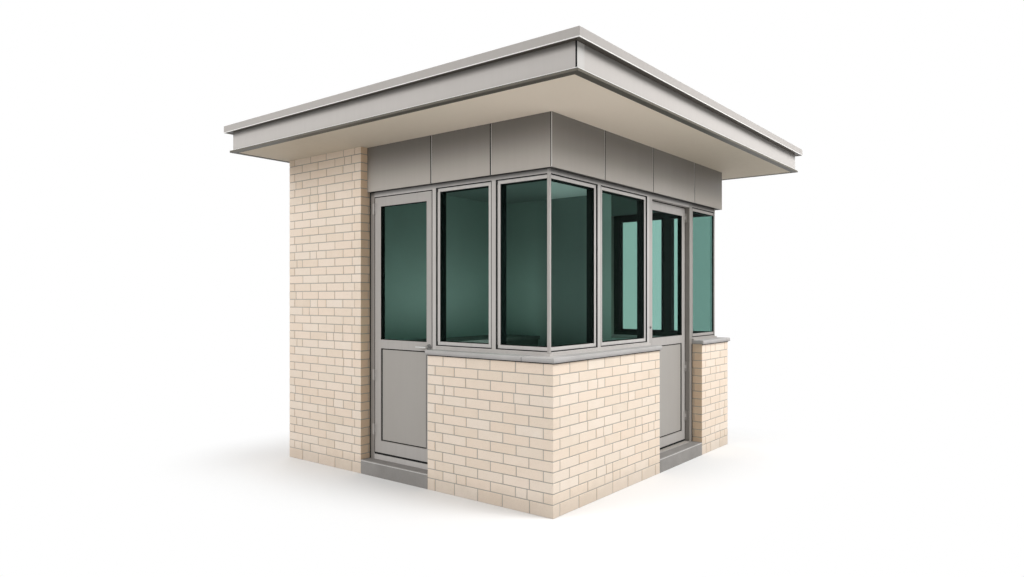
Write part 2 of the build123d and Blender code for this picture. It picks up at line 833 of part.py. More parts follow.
# Roof edge: each side is one folded length, mitred to its neighbours
def mitre_area(grow, reach):
    # The four trapezia that divide a ring at its corners, each drawn a joint short
    x0 = fascia_x0 - grow
    x1 = fascia_x1 + grow
    y0 = fascia_y0 - grow
    y1 = fascia_y1 + grow
    j = mitre_joint / 2
    return (
        [(x0 + j, y0), (x1 - j, y0), (x1 - j - reach, y0 + reach), (x0 + j + reach, y0 + reach)],
        [(x1, y0 + j), (x1, y1 - j), (x1 - reach, y1 - j - reach), (x1 - reach, y0 + j + reach)],
        [(x1 - j, y1), (x0 + j, y1), (x0 + j + reach, y1 - reach), (x1 - j - reach, y1 - reach)],
        [(x0, y1 - j), (x0, y0 + j), (x0 + reach, y0 + j + reach), (x0 + reach, y1 - j - reach)],
    )


def ring(out, inside):
    # A rectangular ring from a distance outside the fascia plane to a distance inside it
    span(fascia_x0 - out, fascia_x1 + out, fascia_y0 - out, fascia_y1 + out)
    span(fascia_x0 + inside, fascia_x1 - inside, fascia_y0 + inside, fascia_y1 - inside, mode=Mode.SUBTRACT)


def mitred_ring(grow, reach, low, high):
    # A ring of four mitred lengths, from an outer edge inwards
    with BuildPart() as rim:
        with BuildSketch(Plane.XY.offset(low)):
            for outline in mitre_area(grow, reach):
                with BuildLine():
                    Polyline(outline, close=True)
                make_face()
        extrude(amount=high - low)
    return rim.part


with BuildPart() as fascias:
    add(mitred_ring(0, fascia_sheet, wall_top, roof_top))

# Under the fascia a folded flange: a nose in front of it, and a plate that runs back to the soffit
with BuildPart() as drip_flanges:
    add(mitred_ring(drip_flange, drip_flange + fascia_return, soffit_height, wall_top))
    add(mitred_ring(drip_flange, drip_flange, soffit_height, soffit_height + flange_height))

with BuildPart() as roof_coping:
    with BuildSketch(Plane.XY.offset(roof_top)):
        ring(coping_projection, coping_width - coping_projection)
    extrude(amount=coping_height)
    top_edges = roof_coping.faces().sort_by(Axis.Z)[-1].outer_wire().edges()
    chamfer(top_edges, length=coping_fall, length2=coping_width / 2)
    with BuildSketch(Plane.XY.offset(roof_top)):
        for outline in mitre_area(coping_projection, coping_width):
            with BuildLine():
                Polyline(outline, close=True)
            make_face()
    extrude(amount=coping_height, mode=Mode.INTERSECT)

# Counter along the left wall, with a cabinet under its far end
counter_y0 = inner_y0 + counter_front_gap
counter_edge = inner_x0 + counter_depth
with BuildPart() as counter_top:
    with BuildSketch(Plane.XY.offset(counter_top_height - counter_top_thickness)):
        span(inner_x0, counter_edge, counter_y0, inner_y1)
    extrude(amount=counter_top_thickness)
    with BuildSketch(Plane.XY.offset(slab_height)):
        span(inner_x0, counter_edge - cabinet_setback, counter_y0, counter_y0 + counter_leg)
    extrude(amount=counter_top_height - counter_top_thickness - slab_height)

with BuildPart() as counter_cabinet:
    with BuildSketch(Plane.XY.offset(slab_height)):
        span(inner_x0, counter_edge - cabinet_setback, inner_y1 - cabinet_length, inner_y1)
    extrude(amount=counter_top_height - counter_top_thickness - slab_height)

pieces = {
    "floor_slab": floor_slab,
    "front_step": front_step,
    "side_step": side_step,
    "front_pier": front_pier,
    "left_wall": left_wall,
    "back_wall": back_wall,
    "front_dado": front_dado,
    "side_dado": side_dado,
    "rear_side_dado": rear_side_dado,
    "back_dado": back_dado,
    "window_sills": window_sills,
    "front_beam": front_beam,
    "side_beam": side_beam,
    "back_beam": back_beam,
    "front_frieze": front_frieze,
    "side_frieze": side_frieze,
    "back_frieze": back_frieze,
    "corner_posts": corner_posts,
    "front_window_frame": front_window_frame,
    "side_window_frame": side_window_frame,
    "rear_window_frames": rear_window_frames,
    "front_sashes": front_sashes,
    "side_sashes": side_sashes,
    "rear_sashes": rear_sashes,
    "front_glass": front_glass,
    "side_glass": side_glass,
    "rear_glass": rear_glass,
    "front_door_frame": front_door_frame,
    "front_door_leaf": front_door_leaf,
    "front_door_glass": front_door_glass,
    "front_door_panel": front_door_panel,
    "front_door_hinges": front_door_hinges,
    "front_door_roses": front_door_roses,
    "front_door_levers": front_door_levers,
    "side_door_frame": side_door_frame,
    "side_door_leaf": side_door_leaf,
    "side_door_glass": side_door_glass,
    "side_door_panel": side_door_panel,
    "side_door_hinges": side_door_hinges,
    "side_door_lock": side_door_lock,
    "roof_core": roof_core,
    "soffit": soffit,
    "ceiling": ceiling,
    "roof_membrane": roof_membrane,
    "fascias": fascias,
    "drip_flanges": drip_flanges,
    "roof_coping": roof_coping,
    "counter_top": counter_top,
    "counter_cabinet": counter_cabinet,
}

for name, piece in pieces.items():
    piece.part.label = name
    export_step(piece.part, f"parts/{name}.step")
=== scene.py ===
import bpy
import bmesh
import json
from math import radians
from mathutils import Matrix, Vector


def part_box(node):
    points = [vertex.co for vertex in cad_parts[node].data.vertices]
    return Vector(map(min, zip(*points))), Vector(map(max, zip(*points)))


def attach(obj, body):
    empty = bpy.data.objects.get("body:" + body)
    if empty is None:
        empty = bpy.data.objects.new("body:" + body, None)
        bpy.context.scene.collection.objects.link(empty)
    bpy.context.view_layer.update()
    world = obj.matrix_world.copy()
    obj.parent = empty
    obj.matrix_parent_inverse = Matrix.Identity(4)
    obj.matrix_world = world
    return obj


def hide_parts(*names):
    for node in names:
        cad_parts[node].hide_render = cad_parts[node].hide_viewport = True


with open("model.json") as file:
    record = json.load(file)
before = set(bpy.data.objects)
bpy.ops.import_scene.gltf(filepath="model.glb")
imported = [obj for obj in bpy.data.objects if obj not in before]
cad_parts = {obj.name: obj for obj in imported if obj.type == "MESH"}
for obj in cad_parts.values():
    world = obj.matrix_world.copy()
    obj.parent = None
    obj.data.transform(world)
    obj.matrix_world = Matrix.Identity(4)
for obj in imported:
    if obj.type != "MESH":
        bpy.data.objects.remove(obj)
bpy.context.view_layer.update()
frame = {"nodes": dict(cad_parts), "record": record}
scene = bpy.context.scene
scene.view_settings.view_transform = "Standard"

# Camera: level, a little right of the near corner
cameraSizes = {"spot": (4.0344, -5.4607, 1.5104), "turn": 38.283, "lens": 24.731, "rise": 0.00876}

cameraData = bpy.data.cameras.new("photoCamera")
cameraData.lens = cameraSizes["lens"]
cameraData.sensor_width = 36.0
cameraData.shift_y = cameraSizes["rise"]
cameraData.clip_end = 200.0
cameraObject = bpy.data.objects.new("photoCamera", cameraData)
cameraObject.location = cameraSizes["spot"]
cameraObject.rotation_euler = (radians(90), 0, radians(cameraSizes["turn"]))
scene.collection.objects.link(cameraObject)
scene.camera = cameraObject


# One output of a node tree. Sums on wires and numbers add Math nodes.
class Wire:
    def __init__(self, tree, socket=None):
        self.tree = tree
        self.socket = socket

    def node(self, kind, settings=None, sockets=None, out=0):
        made = self.tree.nodes.new(kind)
        for name, value in (settings or {}).items():
            if name == "stops":
                self.fillRamp(made.color_ramp, value)
            else:
                setattr(made, name, value)
        for name, value in (sockets or {}).items():
            socket = made.inputs[name]
            if isinstance(value, Wire):
                self.tree.links.new(value.socket, socket)
            else:
                socket.default_value = (*value, 1.0) if socket.type == "RGBA" else value
        return None if out is None else Wire(self.tree, made.outputs[out])

    def fillRamp(self, ramp, stops):
        while len(ramp.elements) < len(stops):
            ramp.elements.new(0.5)
        for element, (place, colour) in zip(ramp.elements, stops):
            element.position = place
            element.color = (*colour, 1.0) if isinstance(colour, tuple) else (colour, colour, colour, 1.0)

    def maths(self, operation, left, right=0.0):
        return self.node("ShaderNodeMath", {"operation": operation}, {0: left, 1: right})

    def __add__(self, other):
        return self.maths("ADD", self, other)

    def __sub__(self, other):
        return self.maths("SUBTRACT", self, other)

    def __rsub__(self, other):
        return self.maths("SUBTRACT", other, self)

    def __mul__(self, other):
        return self.maths("MULTIPLY", self, other)

    def __truediv__(self, other):
        return self.maths("DIVIDE", self, other)

    def __mod__(self, other):
        return self.maths("FLOORED_MODULO", self, other)

    def __gt__(self, other):
        return self.maths("GREATER_THAN", self, other)

    def __lt__(self, other):
        return self.maths("LESS_THAN", self, other)

    __radd__ = __add__
    __rmul__ = __mul__

    def most(self, other):
        return self.maths("MAXIMUM", self, other)

    def whole(self):
        return self.maths("FLOOR", self)

    def size(self):
        return self.maths("ABSOLUTE", self)

    def choose(self, whenOn, whenOff):
        # This wire is 0 or 1
        return self * whenOn + (1.0 - self) * whenOff

    def blend(self, first, second):
        # Colours through a Mix node, with this wire as its factor
        return self.node("ShaderNodeMix", {"data_type": "RGBA"}, {0: self, 6: first, 7: second}, 2)


# Node helpers for the finishes
def newFinish(name):
    material = bpy.data.materials.new(name)
    material.use_nodes = True
    material.node_tree.nodes.clear()
    net = Wire(material.node_tree)
    return material, net, net.node("ShaderNodeTexCoord", out="Object")


def stretched(net, place, *scale):
    return net.node("ShaderNodeMapping", {}, {"Vector": place, "Scale": scale})


def cloud(net, place, scale, detail=3.0, rough=0.5):
    return net.node("ShaderNodeTexNoise", {},
                    {"Vector": place, "Scale": scale, "Detail": detail, "Roughness": rough})


def ramp(net, value, stops, smooth=False):
    shape = "EASE" if smooth else "LINEAR"
    made = net.node("ShaderNodeValToRGB", {"stops": stops}, {"Fac": value})
    made.socket.node.color_ramp.interpolation = shape
    return made


def twoTone(net, value, dark, light):
    return ramp(net, value, [(0.3, dark), (0.7, light)])


def axes(net, vector):
    split = net.node("ShaderNodeSeparateXYZ", {}, {0: vector}).socket.node
    return [Wire(net.tree, split.outputs[axis]) for axis in range(3)]


def slope(net, value, start, end, first, last):
    # From first at start to last at end, eased
    return net.node("ShaderNodeMapRange", {"interpolation_type": "SMOOTHSTEP"},
                    {0: value, 1: start, 2: end, 3: first, 4: last})


def faceNormal(net):
    return net.node("ShaderNodeNewGeometry", out="Normal")


def tinted(net, colour, tint, share=1.0):
    return net.node("ShaderNodeMix", {"data_type": "RGBA", "blend_type": "MULTIPLY"},
                    {0: share, 6: colour, 7: tint}, 2)


def raysSeen(net):
    # 1 on the rays that show a thing to the camera: straight, mirrored or through glass
    rays = net.node("ShaderNodeLightPath").socket.node.outputs
    straight, mirrored, through = [Wire(net.tree, rays[f"Is {kind} Ray"])
                                   for kind in ("Camera", "Glossy", "Transmission")]
    return straight.most(mirrored).most(through)


def mixShaders(net, share, first, second):
    return net.node("ShaderNodeMixShader", {}, {0: share, 1: first, 2: second})


def endFinish(net, shader):
    net.node("ShaderNodeOutputMaterial", {}, {"Surface": shader}, out=None)


def paint(net, sockets):
    return net.node("ShaderNodeBsdfPrincipled", {}, sockets, "BSDF")


def endPaint(net, colour, rough, shine=0.5, relief=None, metallic=0.0):
    # relief is a height with the strength and the distance of its bump
    sockets = {"Base Color": colour, "Roughness": rough, "Specular IOR Level": shine, "Metallic": metallic}
    if relief:
        height, strength, distance = relief
        sockets["Normal"] = net.node("ShaderNodeBump", {}, {"Height": height, "Strength": strength,
                                                            "Distance": distance}, "Normal")
    endFinish(net, paint(net, sockets))


# Bricks: cream, each with its own tone, sanded and faintly mottled
brickLook = {
    "tones": [(0.0, (0.745, 0.62, 0.495)), (0.35, (0.815, 0.70, 0.582)), (0.7, (0.855, 0.75, 0.645)),
              (1.0, (0.89, 0.815, 0.73))],
    "pink": (0.87, 0.71, 0.58), "revealShade": (0.95, 0.86, 0.74), "returns": (0.5, -1.3),
}


def makeBrick():
    material, net, place = newFinish("creamBrick")
    tone = net.node("ShaderNodeAttribute", {"attribute_name": "tone"}, {}, "Fac")
    warmth = net.node("ShaderNodeAttribute", {"attribute_name": "warmth"}, {}, "Fac")
    mottle = cloud(net, place, 11.0, 4.0, 0.6)
    grain = cloud(net, place, 190.0, 2.0, 0.6)
    drag = cloud(net, stretched(net, place, 9.0, 9.0, 160.0), 1.0, 2.0)
    shade = tone * 0.50 + mottle * 0.42 + drag * 0.16 - 0.06
    colour = ramp(net, shade, brickLook["tones"])
    pink = (warmth * 0.5).blend(colour, brickLook["pink"])
    speckle = ramp(net, grain, [(0.30, 0.80), (0.44, 1.0)])
    acrossX, alongY, upZ = axes(net, place)
    facesX, facesY = axes(net, faceNormal(net))[:2]
    dirt = ramp(net, upZ * 4.0 + mottle * 0.35 - 0.15, [(0.12, 0.86), (0.75, 1.0)], True)
    brickColour = tinted(net, tinted(net, pink, dirt), speckle, 0.55)
    # Painted shade: the returns beside the two doors are tinted browner, as they lie in shade
    rightEnd, frontEnd = brickLook["returns"]
    revealShade = ((facesX > 0.5) * (acrossX < rightEnd)).most((facesY < -0.5) * (alongY > frontEnd))
    brickColour = tinted(net, brickColour, brickLook["revealShade"], revealShade)
    rough = 0.80 + grain * 0.14
    relief = grain * 0.5 + drag * 0.35 + mottle * 0.3
    endPaint(net, brickColour, rough, 0.25, (relief, 0.45, 0.0012))
    return material


def makeMortar():
    material, net, place = newFinish("greyMortar")
    sand = cloud(net, place, 320.0, 2.0, 0.7)
    patch = cloud(net, place, 3.0, 3.0)
    colour = twoTone(net, sand * 0.5 + patch * 0.5, (0.36, 0.335, 0.30), (0.48, 0.45, 0.41))
    endPaint(net, colour, 0.95, 0.15, (sand, 0.5, 0.001))
    return material


# Inside faces, in painted light and shade: the walls are painted paler low down, toward the left and by the back
# window, and the ceiling is painted white beyond a slanting line and dark before it
insideLook = {
    "leftEdge": (-1.1, -0.7), "lowEdge": (1.35, 2.35), "windowEdge": (-0.35, 0.0),
    "high": ((0.235, 0.275, 0.26), (0.34, 0.40, 0.37)),
    "low": ((0.25, 0.295, 0.28), (0.53, 0.625, 0.585)),
    "byWindow": (0.54, 0.64, 0.60), "slant": (0.8177, 0.578), "slantEdge": (0.10, 0.18), "rightEnd": 1.1,
    "ceiling": ((0.21, 0.245, 0.23), (0.93, 0.96, 0.95)),
}


def paintedWallLight(net, place):
    acrossX, _, upZ = axes(net, place)
    left = slope(net, acrossX, *insideLook["leftEdge"], 1.0, 0.0)
    low = slope(net, upZ, *insideLook["lowEdge"], 1.0, 0.0)
    byWindow = slope(net, acrossX, *insideLook["windowEdge"], 0.0, 1.0)
    tone = low.blend(left.blend(*insideLook["high"]), left.blend(*insideLook["low"]))
    return byWindow.blend(tone, insideLook["byWindow"])


def paintedCeilingLight(net, place):
    acrossX, alongY = axes(net, place)[:2]
    beyond = acrossX * insideLook["slant"][0] + alongY * insideLook["slant"][1]
    return slope(net, beyond, *insideLook["slantEdge"], 0.0, 1.0).blend(*insideLook["ceiling"])


def makePlaster(name, tone):
    material, net, place = newFinish(name)
    cloudy = twoTone(net, cloud(net, place, 1.6, 3.0), 0.92, 1.0)
    roller = cloud(net, place, 140.0, 2.0)
    colour = tinted(net, tone(net, place), cloudy)
    endPaint(net, colour, 0.75 + roller * 0.1, 0.3, (roller, 0.15, 0.0006))
    return material


# Satin paint on metal: faint orange peel, dust on ledges and slight rain streaks, and painted light and shade.
# under is the painted shade of downward faces, grime the heights between which painted shade darkens the paint
# down to its depth at the upper one, inner the painted shade of faces that look to the front from behind the room,
# around another colour about a corner with its reach, painted light on the soffit and painted shade on the frieze,
# lee a darker length along axis 0 or 1 as painted shade, and shine the strength of the reflection
def makePaint(name, colour, dusty, streaks, roughness, under=None, paintedShadeBand=None, inner=None, cornerShading=None, shadedSpan=None,
              shine=0.5):
    material, net, place = newFinish(name)
    peel = cloud(net, place, 900.0, 1.0)
    wide = cloud(net, place, 2.2, 3.0, 0.6)
    rain = cloud(net, stretched(net, place, 26.0, 26.0, 0.9), 1.0, 3.0, 0.6)
    spot = axes(net, place)
    _, facesY, up = axes(net, faceNormal(net))
    ledge = ramp(net, up + wide * 0.3, [(0.75, 0.0), (1.0, 0.5)])
    marks = ramp(net, rain * 0.6 + wide * 0.4, [(0.36, 1.0), (0.62, 0.0)], True) * streaks
    streaked = marks.blend(colour, dusty)
    paintColour = ledge.blend(streaked, (dusty[0] * 1.15, dusty[1] * 1.12, dusty[2] * 1.05))
    # From here on, light and shade are painted into the colour
    if inner:
        paintColour = ((spot[0] < insideLook["rightEnd"]) * (facesY < -0.5)).blend(paintColour, inner)
    if shadedSpan:
        axis, low, high, shade = shadedSpan
        paintColour = ((spot[axis] > low) * (spot[axis] < high)).blend(paintColour, shade)
    if cornerShading:
        shade, corner, reach = cornerShading
        apart = net.node("ShaderNodeVectorMath", {"operation": "DISTANCE"}, {0: place, 1: corner}, "Value")
        paintColour = slope(net, apart, 0.2, reach, 1.0, 0.0).blend(paintColour, shade)
    if paintedShadeBand:
        low, high, depth = paintedShadeBand
        paintColour = tinted(net, paintColour, slope(net, spot[2] + wide * 0.004, low, high, 1.0, depth))
    if under:
        paintColour = (up < -0.7).blend(paintColour, under)
    endPaint(net, paintColour, roughness + wide * 0.10 + marks * 0.15, shine, (peel, 0.06, 0.0004))
    return material


# fleck is the tone of the stones, trodden the factor on the tone of the upward faces, and band two heights and the
# tone below them
def makeConcrete(name, light, dark, rough, fleck, upwardTone=1.0, band=None):
    material, net, place = newFinish(name)
    patch = cloud(net, place, 5.0, 5.0, 0.62)
    fine = cloud(net, place, 130.0, 3.0, 0.6)
    stones = net.node("ShaderNodeTexVoronoi", {}, {"Vector": place, "Scale": 420.0}, "Distance")
    base = ramp(net, patch * 0.7 + fine * 0.3, [(0.32, dark), (0.68, light)])
    spots = ramp(net, stones, [(0.10, fleck), (0.32, 1.0)])
    colour = tinted(net, base, spots, 0.8)
    if upwardTone < 1.0:
        colour = tinted(net, colour, ramp(net, axes(net, faceNormal(net))[2], [(0.90, 1.0), (0.97, upwardTone)]))
    if band:
        colour = tinted(net, colour, slope(net, axes(net, place)[2], *band, 1.0))
    endPaint(net, colour, rough + fine * 0.15, 0.35, (fine + stones * 0.3, 0.3, 0.0008))
    return material


# Tinted glass, clear to the rays from lamps so that the room is lit through it
glassLook = {"tint": (0.45, 0.62, 0.57), "rear": (0.29, 0.43, 0.40), "door": (0.53, 0.74, 0.70),
             "lamp": (0.60, 0.73, 0.69), "bend": 1.04, "shine": 0.1, "sideFace": 1.14}


def makeGlass(name, tint, sideways=False):
    material, net, place = newFinish(name)
    if sideways:
        # Painted shade: the pane in the side wall is tinted darker than the ones in the back
        tint = (axes(net, place)[0] > glassLook["sideFace"]).blend(tint, glassLook["rear"])
    pane = paint(net, {"Base Color": tint, "Roughness": 0.0, "IOR": glassLook["bend"], "Transmission Weight": 1.0,
                       "Specular IOR Level": glassLook["shine"]})
    through = net.node("ShaderNodeBsdfTransparent", {}, {"Color": glassLook["lamp"]})
    lampRay = net.node("ShaderNodeLightPath", out="Is Shadow Ray")
    endFinish(net, mixShaders(net, lampRay, pane, through))
    return material


# Roofing felt in strips: lap is where a strip's two edges end and begin
feltSizes = {"strip": 0.92, "shift": 10.0, "lap": (0.012, 0.911)}


def makeFelt():
    material, net, place = newFinish("roofFelt")
    grit = cloud(net, place, 600.0, 2.0, 0.7)
    wear = cloud(net, place, 1.3, 4.0, 0.6)
    strip = (axes(net, place)[0] + feltSizes["shift"]) % feltSizes["strip"]
    lap = (strip < feltSizes["lap"][0]).most(strip > feltSizes["lap"][1])
    base = twoTone(net, grit * 0.45 + wear * 0.55, (0.12, 0.125, 0.13), (0.24, 0.24, 0.235))
    colour = lap.blend(base, (0.07, 0.07, 0.07))
    endPaint(net, colour, 0.92, 0.2, (grit * 0.3 + (1.0 - lap), 0.6, 0.002))
    return material


def makeSteel(name, dark, light, metallic):
    material, net, place = newFinish(name)
    brushed = cloud(net, stretched(net, place, 30.0, 30.0, 900.0), 1.0, 2.0)
    wear = cloud(net, place, 40.0, 3.0)
    colour = twoTone(net, brushed * 0.6 + wear * 0.4, dark, light)
    endPaint(net, colour, 0.30 + brushed * 0.15, 0.5, (brushed, 0.1, 0.0002), metallic)
    return material


# Black rubber for the seals, also used as painted shade in gaps, rebates and joints
def makeRubber():
    material, net, place = newFinish("blackSealAndShade")
    fine = cloud(net, place, 300.0, 2.0)
    colour = twoTone(net, fine, (0.012, 0.013, 0.013), (0.022, 0.023, 0.023))
    endPaint(net, colour, 0.55 + fine * 0.2, 0.08)
    return material


def makeLaminate():
    material, net, place = newFinish("counterBoard")
    grainLines = cloud(net, stretched(net, place, 40.0, 2.0, 40.0), 1.0, 4.0, 0.6)
    fine = cloud(net, place, 200.0, 2.0)
    colour = twoTone(net, grainLines * 0.8 + fine * 0.2, (0.12, 0.125, 0.115), (0.17, 0.175, 0.16))
    endPaint(net, colour, 0.42 + fine * 0.1, 0.5, (grainLines, 0.1, 0.0004))
    return material


# Painted shade on the frames' heads, darkening toward the frieze above them
headShade = (2.374, 2.414, 0.3)
finishes = {
    "brick": makeBrick(),
    "mortar": makeMortar(),
    "plaster": makePlaster("insidePlaster", paintedWallLight),
    "concrete": makeConcrete("stepConcrete", (0.325, 0.31, 0.295), (0.25, 0.238, 0.226), 0.72, 0.9, 0.83),
    # Pale concrete for the painted highlights just below the steps' top edges
    "arris": makeConcrete("stepHighlight", (0.62, 0.605, 0.59), (0.55, 0.535, 0.52), 0.65, 0.9),
    "cast_sill": makeConcrete("castSill", (0.505, 0.49, 0.48), (0.42, 0.407, 0.397), 0.65, 0.86, 1.0,
                              (1.064, 1.084, 0.72)),
    "glass": makeGlass("greenGlass", glassLook["tint"]),
    "rear_glass": makeGlass("rearGlass", glassLook["tint"], True),
    "door_glass": makeGlass("doorGlass", glassLook["door"]),
    "panel_grey": makePaint("panelPaint", (0.365, 0.344, 0.32), (0.32, 0.30, 0.27), 0.15, 0.38),
    # The darker tops of the frames below are painted shade under the frieze
    "frame_grey": makePaint("framePaint", (0.42, 0.398, 0.38), (0.33, 0.31, 0.285), 0.25, 0.34,
                            paintedShadeBand=(2.385, 2.41, 0.6)),
    # The window frames, the sashes and the front door's frame are lighter copies of the one grey frame paint:
    # painted light
    "window_frame": makePaint("windowPaint", (0.53, 0.505, 0.485), (0.40, 0.38, 0.355), 0.35, 0.34,
                              paintedShadeBand=(2.374, 2.414, 0.27)),
    "sash": makePaint("sashPaint", (0.56, 0.537, 0.518), (0.43, 0.41, 0.385), 0.35, 0.34),
    # The front door frame's left jamb by the pier and the side door's far jamb and hinges get a darker span:
    # painted shade
    "front_jamb": makePaint("frontJambPaint", (0.52, 0.497, 0.478), (0.41, 0.39, 0.365), 0.3, 0.34,
                            paintedShadeBand=headShade, shadedSpan=(0, -0.73, -0.665, (0.27, 0.253, 0.238))),
    "side_jamb": makePaint("jambPaint", (0.40, 0.378, 0.36), (0.32, 0.30, 0.275), 0.25, 0.34,
                           paintedShadeBand=headShade, shadedSpan=(1, 0.886, 0.97, (0.26, 0.243, 0.222))),
    # The rear frames' faces that look into the room are painted near black: painted shade
    "rear_frame": makePaint("rearFramePaint", (0.40, 0.378, 0.36), (0.32, 0.30, 0.275), 0.25, 0.5,
                            paintedShadeBand=headShade, inner=(0.014, 0.026, 0.021), shine=0.08),
    # The frieze is painted near black underneath, darker toward the soffit and darker at its far end: painted
    # shade
    "frieze": makePaint("friezePaint", (0.445, 0.415, 0.38), (0.39, 0.36, 0.325), 0.18, 0.36,
                        (0.05, 0.045, 0.04), (2.45, 2.77, 0.42),
                        cornerShading=((0.36, 0.325, 0.285), (1.22, 1.55, 2.6), 1.4)),
    "beam_steel": makePaint("primer", (0.045, 0.042, 0.038), (0.06, 0.055, 0.05), 0.4, 0.6),
    # The back beam's face inside the room is painted a dim green-grey: painted shade
    "back_casing": makePaint("casingPaint", (0.045, 0.042, 0.038), (0.06, 0.055, 0.05), 0.4, 0.6,
                             inner=(0.13, 0.165, 0.15), shine=0.1),
    # The fascia is painted dark underneath and darker toward the coping above: painted shade
    "roof_edge": makePaint("edgePaint", (0.505, 0.478, 0.455), (0.42, 0.395, 0.37), 0.12, 0.36,
                           (0.075, 0.062, 0.045), (2.935, 2.980, 0.55)),
    # The coping's underside is painted dark: painted shade
    "coping": makePaint("copingPaint", (0.405, 0.38, 0.36), (0.34, 0.316, 0.295), 0.15, 0.36,
                        (0.055, 0.045, 0.033)),
    # The drip flange, seen from below, is painted dark olive and darker still underneath: painted shade
    "flange": makePaint("flangePaint", (0.115, 0.103, 0.08), (0.09, 0.081, 0.063), 0.3, 0.45,
                        (0.075, 0.067, 0.052)),
    # Pale paint for the painted highlights on edges, beads and sashes
    "highlight_trim": makePaint("highlightPaint", (0.80, 0.79, 0.77), (0.70, 0.69, 0.66), 0.2, 0.3),
    "cover_strip": makePaint("coverPaint", (0.56, 0.545, 0.525), (0.46, 0.44, 0.41), 0.3, 0.36),
    # The soffit is painted paler about the near corner: painted light
    "soffit_board": makePaint("soffitPaint", (0.585, 0.515, 0.415), (0.52, 0.455, 0.36), 0.3, 0.62,
                              cornerShading=((0.96, 0.845, 0.71), (1.285, -1.525, 2.8), 2.6)),
    "ceiling_white": makePlaster("ceilingPaint", paintedCeilingLight),
    "roof_timber": makePaint("roofBoard", (0.36, 0.27, 0.17), (0.28, 0.2, 0.12), 0.6, 0.8),
    "roof_felt": makeFelt(),
    "hardware": makeSteel("satinSteel", (0.60, 0.595, 0.58), (0.72, 0.715, 0.70), 0.85),
    "rose": makeSteel("darkSteel", (0.17, 0.17, 0.165), (0.25, 0.248, 0.24), 0.6),
    "counter_laminate": makeLaminate(),
    "seal_and_shade": makeRubber(),
}

# Every carried-over node takes the finish of its slot, and some have one of their own
ownFinish = {
    "flange": ["drip_flanges"], "coping": ["roof_coping"], "rose": ["front_door_roses"],
    "rear_glass": ["rear_glass"], "rear_frame": ["rear_window_frames", "rear_sashes"],
    "frieze": ["front_frieze", "side_frieze", "back_frieze"],
    "back_casing": ["back_beam"], "window_frame": ["front_window_frame", "side_window_frame"],
    "sash": ["front_sashes", "side_sashes"], "door_glass": ["side_door_glass"], "front_jamb": ["front_door_frame"],
    "side_jamb": ["side_door_frame", "side_door_hinges"],
}
finishOf = {name: finish for finish, names in ownFinish.items() for name in names}
for row in frame["record"]["subparts"]:
    node = frame["nodes"][row["node"]]
    finish = finishes[finishOf.get(row["node"], row["material_slot"])]
    if len(node.material_slots):
        for held in node.material_slots:
            held.material = finish
    else:
        node.data.materials.append(finish)


# Boxes as one mesh: each has its own slot of the finishes that are named
def boxMesh(name, boxes, finishNames):
    work = bmesh.new()
    for low, high, slot in boxes:
        corners = [work.verts.new((x, y, z)) for z in (low[2], high[2]) for y in (low[1], high[1])
                   for x in (low[0], high[0])]
        for order in ((0, 2, 3, 1), (4, 5, 7, 6), (0, 1, 5, 4), (2, 6, 7, 3), (0, 4, 6, 2), (1, 3, 7, 5)):
            work.faces.new([corners[i] for i in order]).material_index = slot
    work.normal_update()
    mesh = bpy.data.meshes.new(name)
    work.to_mesh(mesh)
    work.free()
    for finishName in finishNames:
        mesh.materials.append(finishes[finishName])
    return mesh


def addPiece(mesh, body, replaced=()):
    # The piece has its mesh's name
    piece = bpy.data.objects.new(mesh.name, mesh)
    scene.collection.objects.link(piece)
    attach(piece, body)
    if replaced:
        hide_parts(*replaced)


# Places nearer than this are one place
close = 0.001

# Brickwork: one tree lays the bricks of a wall face, in the face's own frame.
# x runs along the face, y into the wall and z up. Even and odd courses take turns at a corner.
# The sizes are named as the tree's inputs are.
brickSizes = {"First Course": 0.0916, "Course": 0.07373, "Module": 0.238, "Joint": 0.0072, "Depth": 0.0795,
              "Smallest": 0.035, "Wander": 0.005, "Split Share": 0.13, "Proud": 0.0012}
bedSizes = {"arris": 0.0016, "recess": 0.0028, "splitFrom": 0.17, "splitAt": (0.4, 0.6), "least": 0.02,
            "slack": 0.004}
faceInputs = ["Length", "Bottom", "Top", "Start Even", "Start Odd", "End Even", "End Odd",
              "Phase Even", "Phase Odd"]
brickInputs = [*faceInputs, *brickSizes]


